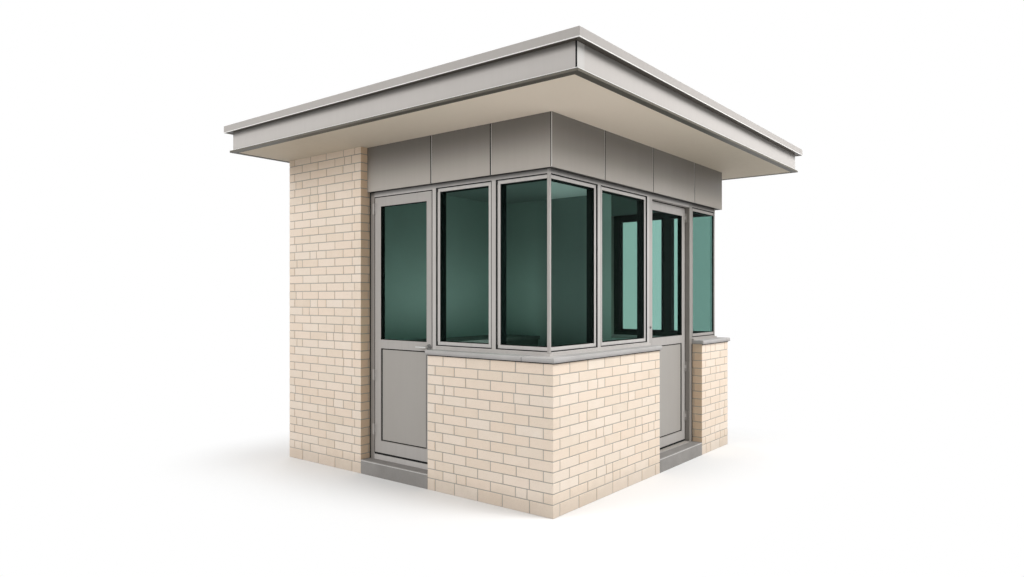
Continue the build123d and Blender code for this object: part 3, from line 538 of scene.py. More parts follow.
def makeBrickTree():
    tree = bpy.data.node_groups.new("layBricks", "GeometryNodeTree")
    for name in brickInputs:
        tree.interface.new_socket(name, in_out="INPUT", socket_type="NodeSocketFloat")
    tree.interface.new_socket("Seed", in_out="INPUT", socket_type="NodeSocketInt")
    tree.interface.new_socket("Bricks", in_out="OUTPUT", socket_type="NodeSocketGeometry")
    net = Wire(tree)
    given = net.node("NodeGroupInput").socket.node
    size = {name: Wire(tree, given.outputs[name]) for name in brickInputs + ["Seed"]}

    def chance(low, high, number, shift):
        return net.node("FunctionNodeRandomValue", {"data_type": "FLOAT"},
                        {2: low, 3: high, 7: number, 8: size["Seed"] + shift}, 1)

    def within(place):
        # Kept on the face, and moved to its edge where less than the smallest brick is left beside it
        place = (place < start + size["Smallest"]).choose(start, place)
        return (place > end - size["Smallest"]).choose(end, place)

    # Every point is half a brick place: part 0 is the brick, part 1 is used where it is split in two
    slots = (size["Length"] / size["Module"]).whole() + 3.0
    courses = ((size["Top"] - size["First Course"]) / size["Course"]).whole() + 2.0
    index = net.node("GeometryNodeInputIndex")
    part = index % 2.0
    cell = (index / 2.0).whole()
    number = cell % slots
    course = (cell / slots).whole()
    odd = course % 2.0
    start = odd.choose(size["Start Odd"], size["Start Even"])
    end = odd.choose(size["End Odd"], size["End Even"])
    phase = odd.choose(size["Phase Odd"], size["Phase Even"])
    key = course * 97.0 + number
    low = phase + (number - 1.0) * size["Module"] + chance(-1.0, 1.0, key, 1.0) * size["Wander"]
    high = phase + number * size["Module"] + chance(-1.0, 1.0, key + 1.0, 1.0) * size["Wander"]
    low = within(low)
    high = within(high)
    isSplit = (chance(0.0, 1.0, key, 2.0) < size["Split Share"]) * (high - low > bedSizes["splitFrom"])
    middle = low + (high - low) * chance(*bedSizes["splitAt"], key, 3.0)
    left = part.choose(middle, low)
    right = part.choose(high, isSplit.choose(middle, high))
    half = size["Joint"] / 2.0
    least = bedSizes["least"]
    left = (left > start + close).choose(left + half, left)
    right = (right < end - close).choose(right - half, right)
    under = (course > 0.5) * (size["First Course"] + (course - 1.0) * size["Course"])
    over = size["First Course"] + course * size["Course"]
    under = (under < size["Bottom"] + bedSizes["slack"]).choose(size["Bottom"], under + half)
    over = (over > size["Top"] - least).choose(size["Top"], over - half)
    useful = (right - left > least) * (over - under > least) * (1.0 - part * (1.0 - isSplit))
    back = chance(0.0, 1.0, key * 2.0 + part, 4.0) * size["Proud"]

    count = slots * courses * 2.0
    line = net.node("GeometryNodeMeshLine", {}, {"Count": count})
    middlePlace = net.node("ShaderNodeCombineXYZ", {}, {0: (left + right) / 2.0, 1: size["Depth"] / 2.0 + back,
                                                        2: (under + over) / 2.0})
    spots = net.node("GeometryNodeSetPosition", {}, {"Geometry": line, "Position": middlePlace})
    block = net.node("GeometryNodeMeshCube", {}, {"Size": (1.0, 1.0, 1.0)})
    stretch = net.node("ShaderNodeCombineXYZ", {}, {0: right - left, 1: size["Depth"], 2: over - under})
    laid = net.node("GeometryNodeInstanceOnPoints", {}, {"Points": spots, "Selection": useful, "Instance": block,
                                                         "Scale": stretch})
    # left, right and the random values are read on the points, before the instances get numbers of their own
    toned = laid
    for name, shift in (("tone", 5.0), ("warmth", 6.0)):
        toned = net.node("GeometryNodeStoreNamedAttribute", {"data_type": "FLOAT", "domain": "INSTANCE"},
                         {"Geometry": toned, "Name": name,
                          "Value": chance(0.0, 1.0, net.node("GeometryNodeInputIndex"), shift)})
    real = net.node("GeometryNodeRealizeInstances", {}, {0: toned})
    painted = net.node("GeometryNodeSetMaterial", {}, {"Geometry": real, "Material": finishes["brick"]})
    net.node("NodeGroupOutput", {}, {"Bricks": painted}, out=None)
    return tree


brickTree = makeBrickTree()
brickSockets = {item.name: item.identifier for item in brickTree.interface.items_tree if item.in_out == "INPUT"}


def layFace(face, seed):
    # The bricks of one face, as a mesh in its place
    carrier = bpy.data.objects.new("layer", bpy.data.meshes.new("layer"))
    scene.collection.objects.link(carrier)
    layer = carrier.modifiers.new("lay", "NODES")
    layer.node_group = brickTree
    for name, value in {**dict(zip(faceInputs, face["inputs"])), **brickSizes, "Seed": seed}.items():
        layer[brickSockets[name]] = value
    edge = carrier.modifiers.new("arris", "BEVEL")
    edge.width = bedSizes["arris"]
    edge.segments = 1
    edge.limit_method = "ANGLE"
    graph = bpy.context.evaluated_depsgraph_get()
    mesh = bpy.data.meshes.new_from_object(carrier.evaluated_get(graph), depsgraph=graph)
    bpy.data.objects.remove(carrier)
    along = Vector((*face["along"], 0.0))
    inward = Vector((*face["inward"], 0.0))
    turn = Matrix((along, inward, (0.0, 0.0, 1.0))).transposed().to_4x4()
    mesh.transform(Matrix.Translation((*face["origin"], 0.0)) @ turn)
    if turn.determinant() < 0:
        mesh.flip_normals()
    return mesh


def joinMeshes(name, meshes):
    # One mesh from several, which share their materials in one order
    whole = bmesh.new()
    for mesh in meshes:
        whole.from_mesh(mesh)
    joined = bpy.data.meshes.new(name)
    whole.to_mesh(joined)
    whole.free()
    for finish in meshes[0].materials:
        joined.materials.append(finish)
    for mesh in meshes:
        bpy.data.meshes.remove(mesh)
    return joined


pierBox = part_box("front_pier")
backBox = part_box("back_wall")
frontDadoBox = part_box("front_dado")
outerLeft, outerFront, _ = pierBox[0]
outerRight = frontDadoBox[1][0]
outerBack = backBox[1][1]
wallDeep = backBox[1][1] - backBox[0][1]
header = brickSizes["Depth"] + brickSizes["Joint"]
stretcherEnd = header + brickSizes["Module"] / 2
lowTop = frontDadoBox[1][2]
highTop = pierBox[1][2]
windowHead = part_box("back_beam")[0][2]
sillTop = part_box("window_sills")[1][2]


def faceRow(origin, along, inward, length, bottom, top, firstOwner, endOwner):
    # firstOwner and endOwner are the courses, 0 even or 1 odd, in which this face holds that corner
    starts = (0.0, header) if firstOwner == 0 else (header, 0.0)
    phases = (stretcherEnd, header) if firstOwner == 0 else (header, stretcherEnd)
    ends = (length, length - header) if endOwner == 0 else (length - header, length)
    if endOwner is None:
        ends = (length, length)
    inputs = (length, bottom, top, *starts, *ends, *phases)
    return {"origin": origin, "along": along, "inward": inward, "inputs": inputs}


pierLength = pierBox[1][0] - pierBox[0][0]
frontDadoLength = frontDadoBox[1][0] - frontDadoBox[0][0]
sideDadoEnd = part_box("side_dado")[1][1]
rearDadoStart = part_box("rear_side_dado")[0][1]
backWallEnd = backBox[1][0]
backReveal = 0.089

nearFaces = [
    faceRow((outerRight, outerFront), (-1, 0), (0, 1), frontDadoLength, 0.0, lowTop, 0, 1),
    faceRow((outerRight - frontDadoLength, outerFront), (0, 1), (1, 0), wallDeep, 0.0, lowTop, 0, None),
    faceRow((outerRight, outerFront), (0, 1), (-1, 0), sideDadoEnd - outerFront, 0.0, lowTop, 1, 1),
    faceRow((outerRight, sideDadoEnd), (-1, 0), (0, -1), wallDeep, 0.0, lowTop, 0, None),
]
mainFaces = [
    faceRow((outerLeft, outerFront), (1, 0), (0, 1), pierLength, 0.0, highTop, 0, 0),
    faceRow((outerLeft + pierLength, outerFront), (0, 1), (-1, 0), wallDeep, 0.0, highTop, 1, None),
    faceRow((outerLeft, outerFront), (0, 1), (1, 0), outerBack - outerFront, 0.0, highTop, 1, 0),
    faceRow((outerLeft, outerBack), (1, 0), (0, -1), outerRight - outerLeft, 0.0, lowTop, 1, 1),
    faceRow((outerLeft, outerBack), (1, 0), (0, -1), backWallEnd - outerLeft, lowTop, highTop, 1, 1),
    faceRow((backWallEnd, outerBack), (0, -1), (-1, 0), backReveal, sillTop, windowHead, 0, None),
    faceRow((outerRight, outerBack), (0, -1), (-1, 0), outerBack - rearDadoStart, 0.0, lowTop, 0, 0),
    faceRow((outerRight, rearDadoStart), (-1, 0), (0, 1), wallDeep, 0.0, lowTop, 1, None),
]


def addBrickPiece(name, faces, seed, nodes):
    mesh = joinMeshes(name, [layFace(face, seed + number) for number, face in enumerate(faces)])
    addPiece(mesh, "booth", nodes)


nearWalls = ["front_dado", "side_dado"]
mainWalls = ["front_pier", "left_wall", "back_wall", "rear_side_dado", "back_dado"]
addBrickPiece("near_corner_bricks", nearFaces, 11, nearWalls)
addBrickPiece("main_bricks", mainFaces, 31, mainWalls)


# The mortar bed behind the bricks: each wall's own box, sunk on the faces that carry bricks, plastered inside
def wallCore(name, nodes):
    sink = bedSizes["recess"]
    outer = ((outerLeft, outerFront), (outerRight, outerBack))
    freeEnds = {"front_pier": (0, 1), "back_wall": (0, 1), "front_dado": (0, 0), "side_dado": (1, 1),
                "rear_side_dado": (1, 0)}
    boxes = []
    for node in nodes:
        corners = [list(corner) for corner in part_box(node)]
        for side, towards in ((0, 1.0), (1, -1.0)):
            for axis in (0, 1):
                if abs(corners[side][axis] - outer[side][axis]) < close or freeEnds.get(node) == (axis, side):
                    corners[side][axis] += towards * sink
        boxes.append((corners[0], corners[1], 0))
    mesh = boxMesh(name, boxes, ["mortar", "plaster"])
    inner = ((outerLeft + wallDeep, outerFront + wallDeep), (outerRight - wallDeep, outerBack - wallDeep))
    for face in mesh.polygons:
        for axis in (0, 1):
            side = 0 if face.normal[axis] > 0.5 else 1
            if abs(face.normal[axis]) > 0.5 and abs(face.center[axis] - inner[side][axis]) < close:
                face.material_index = 1
    addPiece(mesh, "booth", nodes)


wallCore("near_corner_mortar", nearWalls)
wallCore("main_mortar", mainWalls)


# The box of every separate solid in a CAD node, lowest corner first
def solidBoxes(node):
    work = bmesh.new()
    work.from_mesh(frame["nodes"][node].data)
    work.transform(frame["nodes"][node].matrix_world)
    bmesh.ops.remove_doubles(work, verts=work.verts, dist=0.00002)
    left = set(work.verts)
    boxes = []
    while left:
        waiting = [left.pop()]
        found = []
        while waiting:
            vert = waiting.pop()
            found.append(vert.co.copy())
            for edge in vert.link_edges:
                other = edge.other_vert(vert)
                if other in left:
                    left.discard(other)
                    waiting.append(other)
        boxes.append([[pick(co[axis] for co in found) for axis in range(3)] for pick in (min, max)])
    work.free()
    return sorted(boxes)


# A rectangular ring in a wall: opening limits along the wall and in height, and how far it grows inwards
def ringBoxes(axis, depths, along, heights, thick, sides="lrbt", slot=0):
    deep = sorted(depths)
    spans = {
        "l": ((along[0], along[0] + thick), heights),
        "r": ((along[1] - thick, along[1]), heights),
        "b": (along, (heights[0], heights[0] + thick)),
        "t": (along, (heights[1] - thick, heights[1])),
    }
    boxes = []
    for side in sides:
        limits, tall = spans[side]
        low, high = zip(limits, deep, tall) if axis else zip(deep, limits, tall)
        boxes.append((low, high, slot))
    return boxes


# Black seals and painted light: a sleeve before and behind each pane, an inner lining that darkens the reveal as
# painted shade, the joint round each sash and the frame's rebate, black as painted shade, with a painted shadow
# line and a painted highlight beside it
sealAndPaintedLightSizes = {"bite": 0.008, "thick": 0.0016, "sashFront": 0.005, "glass": 0.006, "sashDeep": 0.042, "sash": 0.028,
             "gap": 0.006, "gapBack": 0.0005, "shine": 0.0028, "lip": 0.001, "recess": 0.008, "lining": 0.064,
             "stop": 0.020, "postBead": 0.007, "postProud": 0.003, "shade": 0.0045, "film": 0.0006, "near": 0.03}


def paneSealsAndPaintedLight(node, axis, sign, post):
    # axis is the wall's normal, sign its outward way, post the place along the wall where panes have no stile
    bite, thick, gap, shine, shade, stop, film, sashFront = [
        sealAndPaintedLightSizes[name] for name in ("bite", "thick", "gap", "shine", "shade", "stop", "film", "sashFront")]
    boxes = []
    for low, high in solidBoxes(node):
        if high[axis] - low[axis] > sealAndPaintedLightSizes["glass"] + close:
            continue
        ends = (low[1 - axis], high[1 - axis])
        stiles = [abs(end - post) > sealAndPaintedLightSizes["near"] for end in ends]
        along = (ends[0] + bite * stiles[0], ends[1] - bite * stiles[1])
        heights = (low[2] + bite, high[2] - bite)

        def grown(amount):
            return along[0] - amount * stiles[0], along[1] + amount * stiles[1]

        face = high[axis] if sign > 0 else low[axis]
        back = face - sign * sealAndPaintedLightSizes["glass"]
        rear = face + sign * (sashFront - sealAndPaintedLightSizes["sashDeep"])
        front = face + sign * (sashFront - sealAndPaintedLightSizes["lip"])
        sides = "l" * stiles[0] + "r" * stiles[1] + "bt"
        boxes += ringBoxes(axis, (face, front), along, heights, thick, sides)
        boxes += ringBoxes(axis, (back, rear), along, heights, thick, sides)
        # The joint round each sash is black: painted shade in the gap
        grow = sealAndPaintedLightSizes["sash"] + gap
        outer = grown(grow)
        tall = (heights[0] - grow, heights[1] + grow)
        joint = (face + sign * (sashFront + sealAndPaintedLightSizes["recess"] - sealAndPaintedLightSizes["gapBack"]), rear)
        boxes += ringBoxes(axis, joint, outer, tall, gap, sides)
        sashFace = face + sign * sashFront
        frameFace = sashFace + sign * sealAndPaintedLightSizes["recess"]
        onSash = (sashFace, sashFace + sign * film)
        onFrame = (frameFace, frameFace + sign * film)
        # Beside the sashes, black films on the frame are painted shadow lines and the pale strips, slot 1, painted
        # highlights
        if axis == 1:
            stile = (along[0] - sealAndPaintedLightSizes["sash"], along[1] + shine)
            boxes += ringBoxes(axis, onSash, stile, heights, shine, "l" + "r" * stiles[1], 1)
            boxes += ringBoxes(axis, onFrame, (outer[0] - shade, outer[1]), tall, shade, "l")
        elif stiles[1]:
            boxes += ringBoxes(axis, onFrame, (outer[0], outer[1] + shade), tall, shade, "r")
            boxes += ringBoxes(axis, onFrame, (outer[0], outer[1] + shade + shine), tall, shine, "r", 1)
        # The lining darkens the reveal behind the glass: painted shade
        lining = (rear, face - sign * sealAndPaintedLightSizes["lining"])
        boxes += ringBoxes(axis, lining, grown(stop), (heights[0] - stop, heights[1] + stop), stop + thick, sides)
        # Beside the corner post, a black bead on the glass: a silicone joint, widened as painted shade
        bead = "l" * (not stiles[0]) + "r" * (not stiles[1])
        proud = (face, face + sign * sealAndPaintedLightSizes["postProud"])
        boxes += ringBoxes(axis, proud, along, heights, sealAndPaintedLightSizes["postBead"], bead)
    return boxes


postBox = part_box("corner_posts")
windowSealsAndPaintedLight = []
for pane in (
        ("front_glass", 1, -1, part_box("front_glass")[1][0]), ("side_glass", 0, 1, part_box("side_glass")[0][1]),
        ("rear_glass", 0, 1, postBox[1][1]), ("rear_glass", 1, 1, postBox[1][0])):
    windowSealsAndPaintedLight += paneSealsAndPaintedLight(*pane)
addPiece(boxMesh("window_seals_and_painted_light", windowSealsAndPaintedLight, ["seal_and_shade", "highlight_trim"]), "booth")

# Door seals and painted shade: sleeves at the glass, the groove round the panel, black as painted shade, black
# edges round the leaf as painted shade and a sweep under it, black to darken the gap as painted shade.
# The stiles are at the low and the high end of the leaf's run along the wall.
doorSizes = {"leafGap": 0.008, "bottomGap": 0.018, "thick": 0.0016, "glassFront": 0.014, "glass": 0.006,
             "lip": 0.001, "leafDeep": 0.045, "groove": 0.010, "grooveDeep": 0.0015, "bite": 0.008,
             "field": 0.006, "topRail": 0.078, "edge": 0.0008, "edgeBack": 0.0015, "sweep": 0.017,
             "sweepDeep": 0.010, "seam": 0.014, "seamProud": 0.0005}
doorFaces = {
    "front_door": {"axis": 1, "sign": -1, "stiles": (0.075, 0.057), "bottomRail": 0.103},
    "side_door": {"axis": 0, "sign": 1, "stiles": (0.065, 0.065), "bottomRail": 0.086},
}


def leafLimits(door, sizes):
    # The leaf's run along the wall, its heights, its face and the depths of the joint round it
    run = 1 - sizes["axis"]
    sign = sizes["sign"]
    low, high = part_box(f"{door}_glass")
    bite = doorSizes["bite"]
    along = (low[run] + bite - sizes["stiles"][0], high[run] - bite + sizes["stiles"][1])
    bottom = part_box(f"{door}_panel")[0][2] + bite - sizes["bottomRail"]
    face = (high if sign > 0 else low)[sizes["axis"]] + sign * doorSizes["glassFront"]
    deep = (face - sign * doorSizes["edgeBack"], face - sign * (doorSizes["leafDeep"] - doorSizes["edgeBack"]))
    return along, (bottom, high[2] - bite + doorSizes["topRail"]), face, deep


def leafSealsAndShade(door, sizes):
    axis = sizes["axis"]
    sign = sizes["sign"]
    bite, thick, edge, glassFront = [doorSizes[name] for name in ("bite", "thick", "edge", "glassFront")]
    boxes = []
    for kind in ("glass", "panel"):
        low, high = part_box(f"{door}_{kind}")
        along = (low[1 - axis] + bite, high[1 - axis] - bite)
        heights = (low[2] + bite, high[2] - bite)
        outside = high[axis] if sign > 0 else low[axis]
        # The panel's groove, top and bottom, and the strips at its sides are black: painted shadow lines
        if kind == "panel":
            face = outside - sign * doorSizes["field"]
            groove = (face, face + sign * doorSizes["grooveDeep"])
            seam = (face, outside + sign * doorSizes["seamProud"])
            boxes += ringBoxes(axis, groove, along, heights, doorSizes["groove"], "bt")
            boxes += ringBoxes(axis, seam, along, heights, doorSizes["seam"], "lr")
            continue
        front = outside + sign * (glassFront - doorSizes["lip"])
        back = outside - sign * doorSizes["glass"]
        rear = outside + sign * (glassFront - doorSizes["leafDeep"])
        boxes += ringBoxes(axis, (outside, front), along, heights, thick)
        boxes += ringBoxes(axis, (back, rear), along, heights, thick)
    # Black edges round the leaf and the sweep under it darken the joints: painted shade
    along, heights, face, deep = leafLimits(door, sizes)
    boxes += ringBoxes(axis, deep, (along[0] - edge, along[1] + edge), (heights[0], heights[1] + edge),
                       edge, "lrt")
    sweep = doorSizes["sweep"]
    return boxes + ringBoxes(axis, (deep[0], face - sign * doorSizes["sweepDeep"]), along,
                             (heights[0] - sweep, heights[0]), sweep, "b")


def jambRebateShade(door, sizes):
    # Painted shade on the frame, behind the leaf's face: black rebates beside and over the leaf
    along, heights, _, deep = leafLimits(door, sizes)
    gap = doorSizes["leafGap"]
    return ringBoxes(sizes["axis"], deep, (along[0] - gap, along[1] + gap),
                     (heights[0] - doorSizes["bottomGap"], heights[1] + gap), doorSizes["edge"], "lrt")


jambBoxes = []
for door, sizes in doorFaces.items():
    addPiece(boxMesh(f"{door}_seals", leafSealsAndShade(door, sizes), ["seal_and_shade"]), door)
    jambBoxes += jambRebateShade(door, sizes)

# Joints in the wall beside the jambs, sealant widened as painted shade, painted shadow lines under the sills and
# under the friezes, a joint across the front sill, and painted highlights on the steps' edges. In the finishes, 0
# is black and 1 pale.
jointAndPaintedLightSizes = {"jamb": 0.012, "jambProud": 0.002, "sillLine": 0.008, "sillProud": 0.004, "sillJoint": 1.0225,
              "sillJointWide": 0.0028, "nose": 0.006, "subsill": 0.014, "setback": 0.1, "floor": 0.12,
              "stepEdge": 0.004, "stepLine": 0.006, "film": 0.0006, "headLine": 0.003}
frameFront = outerFront + jointAndPaintedLightSizes["setback"]
frameRight = outerRight - jointAndPaintedLightSizes["setback"]
frameBack = outerBack - jointAndPaintedLightSizes["setback"]
pierEdge = outerLeft + pierLength
floorTop = jointAndPaintedLightSizes["floor"]
jamb = jointAndPaintedLightSizes["jamb"]
jambProud = jointAndPaintedLightSizes["jambProud"]
sillProud = jointAndPaintedLightSizes["sillProud"]
sillRight = outerRight + sillProud
lineLow = lowTop - jointAndPaintedLightSizes["sillLine"]
_, sillFront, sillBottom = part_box("window_sills")[0]
seamX = jointAndPaintedLightSizes["sillJoint"]
seamEnd = seamX + jointAndPaintedLightSizes["sillJointWide"]
nose = jointAndPaintedLightSizes["nose"]
film = jointAndPaintedLightSizes["film"]
headLow = windowHead - jointAndPaintedLightSizes["headLine"]
# Black beside the jambs as sealant and painted shade, painted shadow lines under the sills and under the friezes,
# and a joint across the front sill
jambBoxes += [
    ((pierEdge, frameFront - jambProud, floorTop), (pierEdge + jamb, frameFront, windowHead), 0),
    ((frameRight, rearDadoStart - jamb, floorTop), (frameRight + jambProud, rearDadoStart, lowTop), 0),
    ((outerRight - frontDadoLength, outerFront - sillProud, lineLow), (sillRight, outerFront, lowTop), 0),
    ((outerRight, outerFront, lineLow), (sillRight, sideDadoEnd, lowTop), 0),
    ((outerRight, rearDadoStart, lineLow), (sillRight, outerBack, lowTop), 0),
    ((backWallEnd, outerBack, lineLow), (sillRight, outerBack + sillProud, lowTop), 0),
    ((seamX, sillFront - film, sillBottom), (seamEnd, sillFront, sillTop - nose), 0),
    ((seamX, sillFront + nose, sillTop), (seamEnd, frameFront - jointAndPaintedLightSizes["subsill"], sillTop + film), 0),
    ((pierEdge, frameFront - film, headLow), (frameRight, frameFront, windowHead), 0),
    ((frameRight, frameFront, headLow), (frameRight + film, frameBack, windowHead), 0),
]
# Painted highlights: pale strips just below the steps' top edges
for node, axis, side in (("front_step", 1, 0), ("side_step", 0, 1)):
    low, high = [list(corner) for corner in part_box(node)]
    high[2] -= jointAndPaintedLightSizes["stepEdge"]
    low[2] = high[2] - jointAndPaintedLightSizes["stepLine"]
    face = (low, high)[side][axis]
    low[axis], high[axis] = (face, face + film) if side else (face - film, face)
    jambBoxes.append((low, high, 1))
addPiece(boxMesh("wall_joints_and_painted_light", jambBoxes, ["seal_and_shade", "arris"]), "booth")

# Key switch on the side door's jamb: a low round plate with a raised barrel
switchSizes = {"spot": (1.185, 0.093, 1.249), "plate": (0.013, 0.003), "barrel": (0.008, 0.009), "taper": 0.88,
               "segments": 28}
switchWork = bmesh.new()
for disc in ("plate", "barrel"):
    wide, thick = switchSizes[disc]
    centre = Vector(switchSizes["spot"]) + Vector((thick / 2, 0, 0))
    bmesh.ops.create_cone(switchWork, cap_ends=True, segments=switchSizes["segments"], radius1=wide,
                          radius2=wide * switchSizes["taper"], depth=thick,
                          matrix=Matrix.Translation(centre) @ Matrix.Rotation(radians(90), 4, "Y"))
switchMesh = bpy.data.meshes.new("key_switch")
switchWork.to_mesh(switchMesh)
switchWork.free()
switchMesh.materials.append(finishes["rose"])
addPiece(switchMesh, "booth")

# Roof edge trim: painted highlights on the coping's and the drip flange's edges, a cover strip and a dark mitre
# seam at the near corner, widened as painted shade, painted shadow lines along the far soffit edges, and at the
# near corner of the frieze a painted shadow seam with a painted highlight bead.
# In the finishes, 0 is the pale highlight, 1 the cover strip and 2 black.
edgeSizes = {"lipDrop": 0.006, "lipThick": 0.003, "bead": 0.0006, "beadTall": 0.003, "beadDeep": 0.004,
             "cover": 0.083, "coverThick": 0.0015, "coverLift": 0.0008, "coverGap": 0.0005, "seam": 0.006,
             "seamProud": 0.0018, "soffitLine": 0.010, "soffitDrop": 0.0015, "friezeSeam": 0.007,
             "friezeBead": 0.003, "friezeProud": 0.0008, "friezeFilm": 0.0006, "friezeInset": 0.002,
             "jointDeep": (0.0005, 0.003), "jointWide": (0.002, 0.03)}
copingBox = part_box("roof_coping")
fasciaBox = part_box("fascias")
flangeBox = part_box("drip_flanges")
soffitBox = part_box("soffit")
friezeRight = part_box("side_frieze")[1][0]
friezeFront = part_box("front_frieze")[0][1]
copingBase = copingBox[0][2]


def rimBoxes(low, high, z0, z1, thick):
    plans = [((low[0], low[1]), (high[0], low[1] + thick)), ((low[0], high[1] - thick), (high[0], high[1])),
             ((low[0], low[1] + thick), (low[0] + thick, high[1] - thick)),
             ((high[0] - thick, low[1] + thick), (high[0], high[1] - thick))]
    return [((*start, z0), (*end, z1), 0) for start, end in plans]


# A pale lip under the coping and a pale bead on the drip flange: painted highlights
rim = rimBoxes(*copingBox, copingBase - edgeSizes["lipDrop"], copingBase, edgeSizes["lipThick"])
flangeLow = [flangeBox[0][axis] - edgeSizes["bead"] for axis in (0, 1)]
flangeHigh = [flangeBox[1][axis] + edgeSizes["bead"] for axis in (0, 1)]
flangeTop = flangeBox[1][2]
rim += rimBoxes(flangeLow, flangeHigh, flangeTop - edgeSizes["beadTall"], flangeTop + edgeSizes["bead"],
                edgeSizes["beadDeep"])
coverX = fasciaBox[1][0]
coverY = fasciaBox[0][1]
coverLow = flangeTop + edgeSizes["coverLift"]
coverHigh = copingBase - edgeSizes["coverGap"]
seam = edgeSizes["seam"]
seamProud = edgeSizes["seamProud"]
(soffitLeft, soffitFront, soffitLow), (soffitRight, soffitBack, _) = soffitBox
lineDrop = soffitLow - edgeSizes["soffitDrop"]
line = edgeSizes["soffitLine"]
friezeLow = windowHead + edgeSizes["friezeInset"]
friezeHigh = soffitLow - edgeSizes["friezeInset"]
bead = edgeSizes["friezeBead"]
beadLeft = friezeRight - bead
beadProud = edgeSizes["friezeProud"]
# The cover strip, black corner seams as painted shade, painted shadow lines at the soffit's far edges, and the
# frieze corner's painted shadow seam and painted highlight beads
rim += [
    ((coverX, coverY + seam, coverLow),
     (coverX + edgeSizes["coverThick"], coverY + edgeSizes["cover"], coverHigh), 1),
    ((coverX - seam, coverY - seamProud, coverLow), (coverX + seamProud, coverY, coverHigh), 2),
    ((coverX, coverY, coverLow), (coverX + seamProud, coverY + seam, coverHigh), 2),
    ((soffitLeft - line, soffitFront - line, lineDrop), (soffitLeft, soffitBack + line, soffitLow), 2),
    ((soffitLeft, soffitBack, lineDrop), (soffitRight + line, soffitBack + line, soffitLow), 2),
    ((beadLeft - edgeSizes["friezeSeam"], friezeFront - edgeSizes["friezeFilm"], friezeLow),
     (beadLeft, friezeFront, friezeHigh), 2),
    ((beadLeft, friezeFront - beadProud, friezeLow), (friezeRight + beadProud, friezeFront, friezeHigh), 0),
    ((friezeRight, friezeFront, friezeLow), (friezeRight + beadProud, friezeFront + bead, friezeHigh), 0),
]


# The joints of the frieze: black inside as painted shade, with a painted highlight on the edge on the side of the
# near corner
def friezeJointShading(node, axis, face):
    run = 1 - axis
    sign = -1 if axis else 1
    jointFront, jointBack = edgeSizes["jointDeep"]
    narrow, broad = edgeSizes["jointWide"]
    heights = (friezeLow, friezeHigh)
    boxes = []
    panels = sorted(solidBoxes(node), key=lambda corners: corners[0][run])
    for before, after in zip(panels, panels[1:]):
        start = before[1][run]
        end = after[0][run]
        if narrow < end - start < broad:
            edge = (end, end + bead) if axis else (start - bead, start)
            boxes += ringBoxes(axis, (face - sign * jointBack, face - sign * jointFront), (start, end), heights,
                               end - start, "l", 2)
            boxes += ringBoxes(axis, (face, face + sign * beadProud), edge, heights, bead, "l")
    return boxes


rim += friezeJointShading("front_frieze", 1, friezeFront) + friezeJointShading("side_frieze", 0, friezeRight)
addPiece(boxMesh("roof_edge_trim", rim, ["highlight_trim", "cover_strip", "seal_and_shade"]), "booth")

# Floor, sky and lamps
stageSizes = {"reach": 60.0, "nearFade": 0.03, "farFade": 1.25, "halfWide": 1.525, "halfDeep": 1.570,
              "middle": (-0.24, 0.045), "drop": 0.0005}


def makeFloor():
    material, net, place = newFinish("paleFloor")
    acrossX, alongY = axes(net, place)[:2]
    beyondX = ((acrossX - stageSizes["middle"][0]).size() - stageSizes["halfWide"]).most(0.0)
    beyondY = ((alongY - stageSizes["middle"][1]).size() - stageSizes["halfDeep"]).most(0.0)
    away = net.maths("POWER", beyondX * beyondX + beyondY * beyondY, 0.5)
    fade = slope(net, away, stageSizes["nearFade"], stageSizes["farFade"], 0.0, 1.0)
    bounced = net.node("ShaderNodeLightPath", out="Is Diffuse Ray")
    tone = bounced.blend((0.80, 0.80, 0.80), (0.44, 0.435, 0.425))
    lit = paint(net, {"Base Color": tone, "Roughness": 0.9, "Specular IOR Level": 0.1})
    white = net.node("ShaderNodeEmission", {}, {"Color": (1.0, 1.0, 1.0), "Strength": 1.0})
    endFinish(net, mixShaders(net, fade * raysSeen(net), lit, white))
    return material


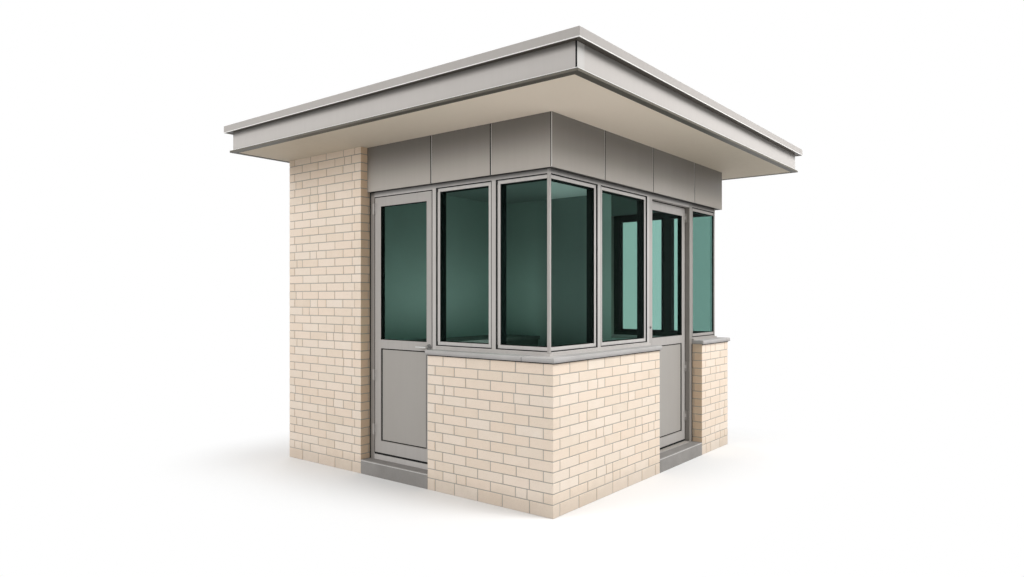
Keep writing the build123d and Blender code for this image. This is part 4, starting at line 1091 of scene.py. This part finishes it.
floorMesh = bpy.data.meshes.new("floor")
reach = stageSizes["reach"]
floorMesh.from_pydata([(-reach, -reach, 0), (reach, -reach, 0), (reach, reach, 0), (-reach, reach, 0)], [],
                      [(0, 1, 2, 3)])
floorMesh.materials.append(makeFloor())
floorObject = bpy.data.objects.new("floor", floorMesh)
floorObject.location.z = -stageSizes["drop"]
scene.collection.objects.link(floorObject)

world = bpy.data.worlds.new("studio")
world.use_nodes = True
world.node_tree.nodes.clear()
skyNet = Wire(world.node_tree)
skyRise = axes(skyNet, skyNet.node("ShaderNodeTexCoord", out="Generated"))[2]
skyLight = slope(skyNet, skyRise, 0.0, 0.9, 0.34, 0.85)
ambient = skyNet.node("ShaderNodeBackground", {}, {"Color": (1.0, 1.0, 1.0), "Strength": skyLight})
shown = skyNet.node("ShaderNodeBackground", {}, {"Color": (1.0, 1.0, 1.0), "Strength": 1.0})
mixed = mixShaders(skyNet, raysSeen(skyNet), ambient, shown)
skyNet.node("ShaderNodeOutputWorld", {}, {"Surface": mixed}, out=None)
scene.world = world

lampSizes = {
    "key": {"spot": (8.0, 1.4, 7.2), "aim": (0.8, 0.2, 1.0), "size": 5.0, "power": 790.0},
    "front": {"spot": (-2.5, -9.5, 5.6), "aim": (0.0, -1.0, 1.0), "size": 6.0, "power": 435.0},
    "fill": {"spot": (-7.5, 3.5, 5.5), "aim": (-1.8, 0.5, 0.5), "size": 5.0, "power": 130.0},
    "room": {"spot": (-0.5, 0.1, 0.99), "aim": (-0.5, 0.15, 3.0), "size": 1.2, "power": 11.0},
}
for name, sizes in lampSizes.items():
    lamp = bpy.data.lights.new(name, "AREA")
    lamp.shape = "DISK"
    lamp.size = sizes["size"]
    lamp.energy = sizes["power"]
    holder = bpy.data.objects.new(name, lamp)
    holder.location = sizes["spot"]
    holder.visible_camera = False
    holder.visible_glossy = False
    holder.visible_transmission = False
    toward = Vector(sizes["aim"]) - Vector(sizes["spot"])
    holder.rotation_euler = toward.to_track_quat("-Z", "Y").to_euler()
    scene.collection.objects.link(holder)
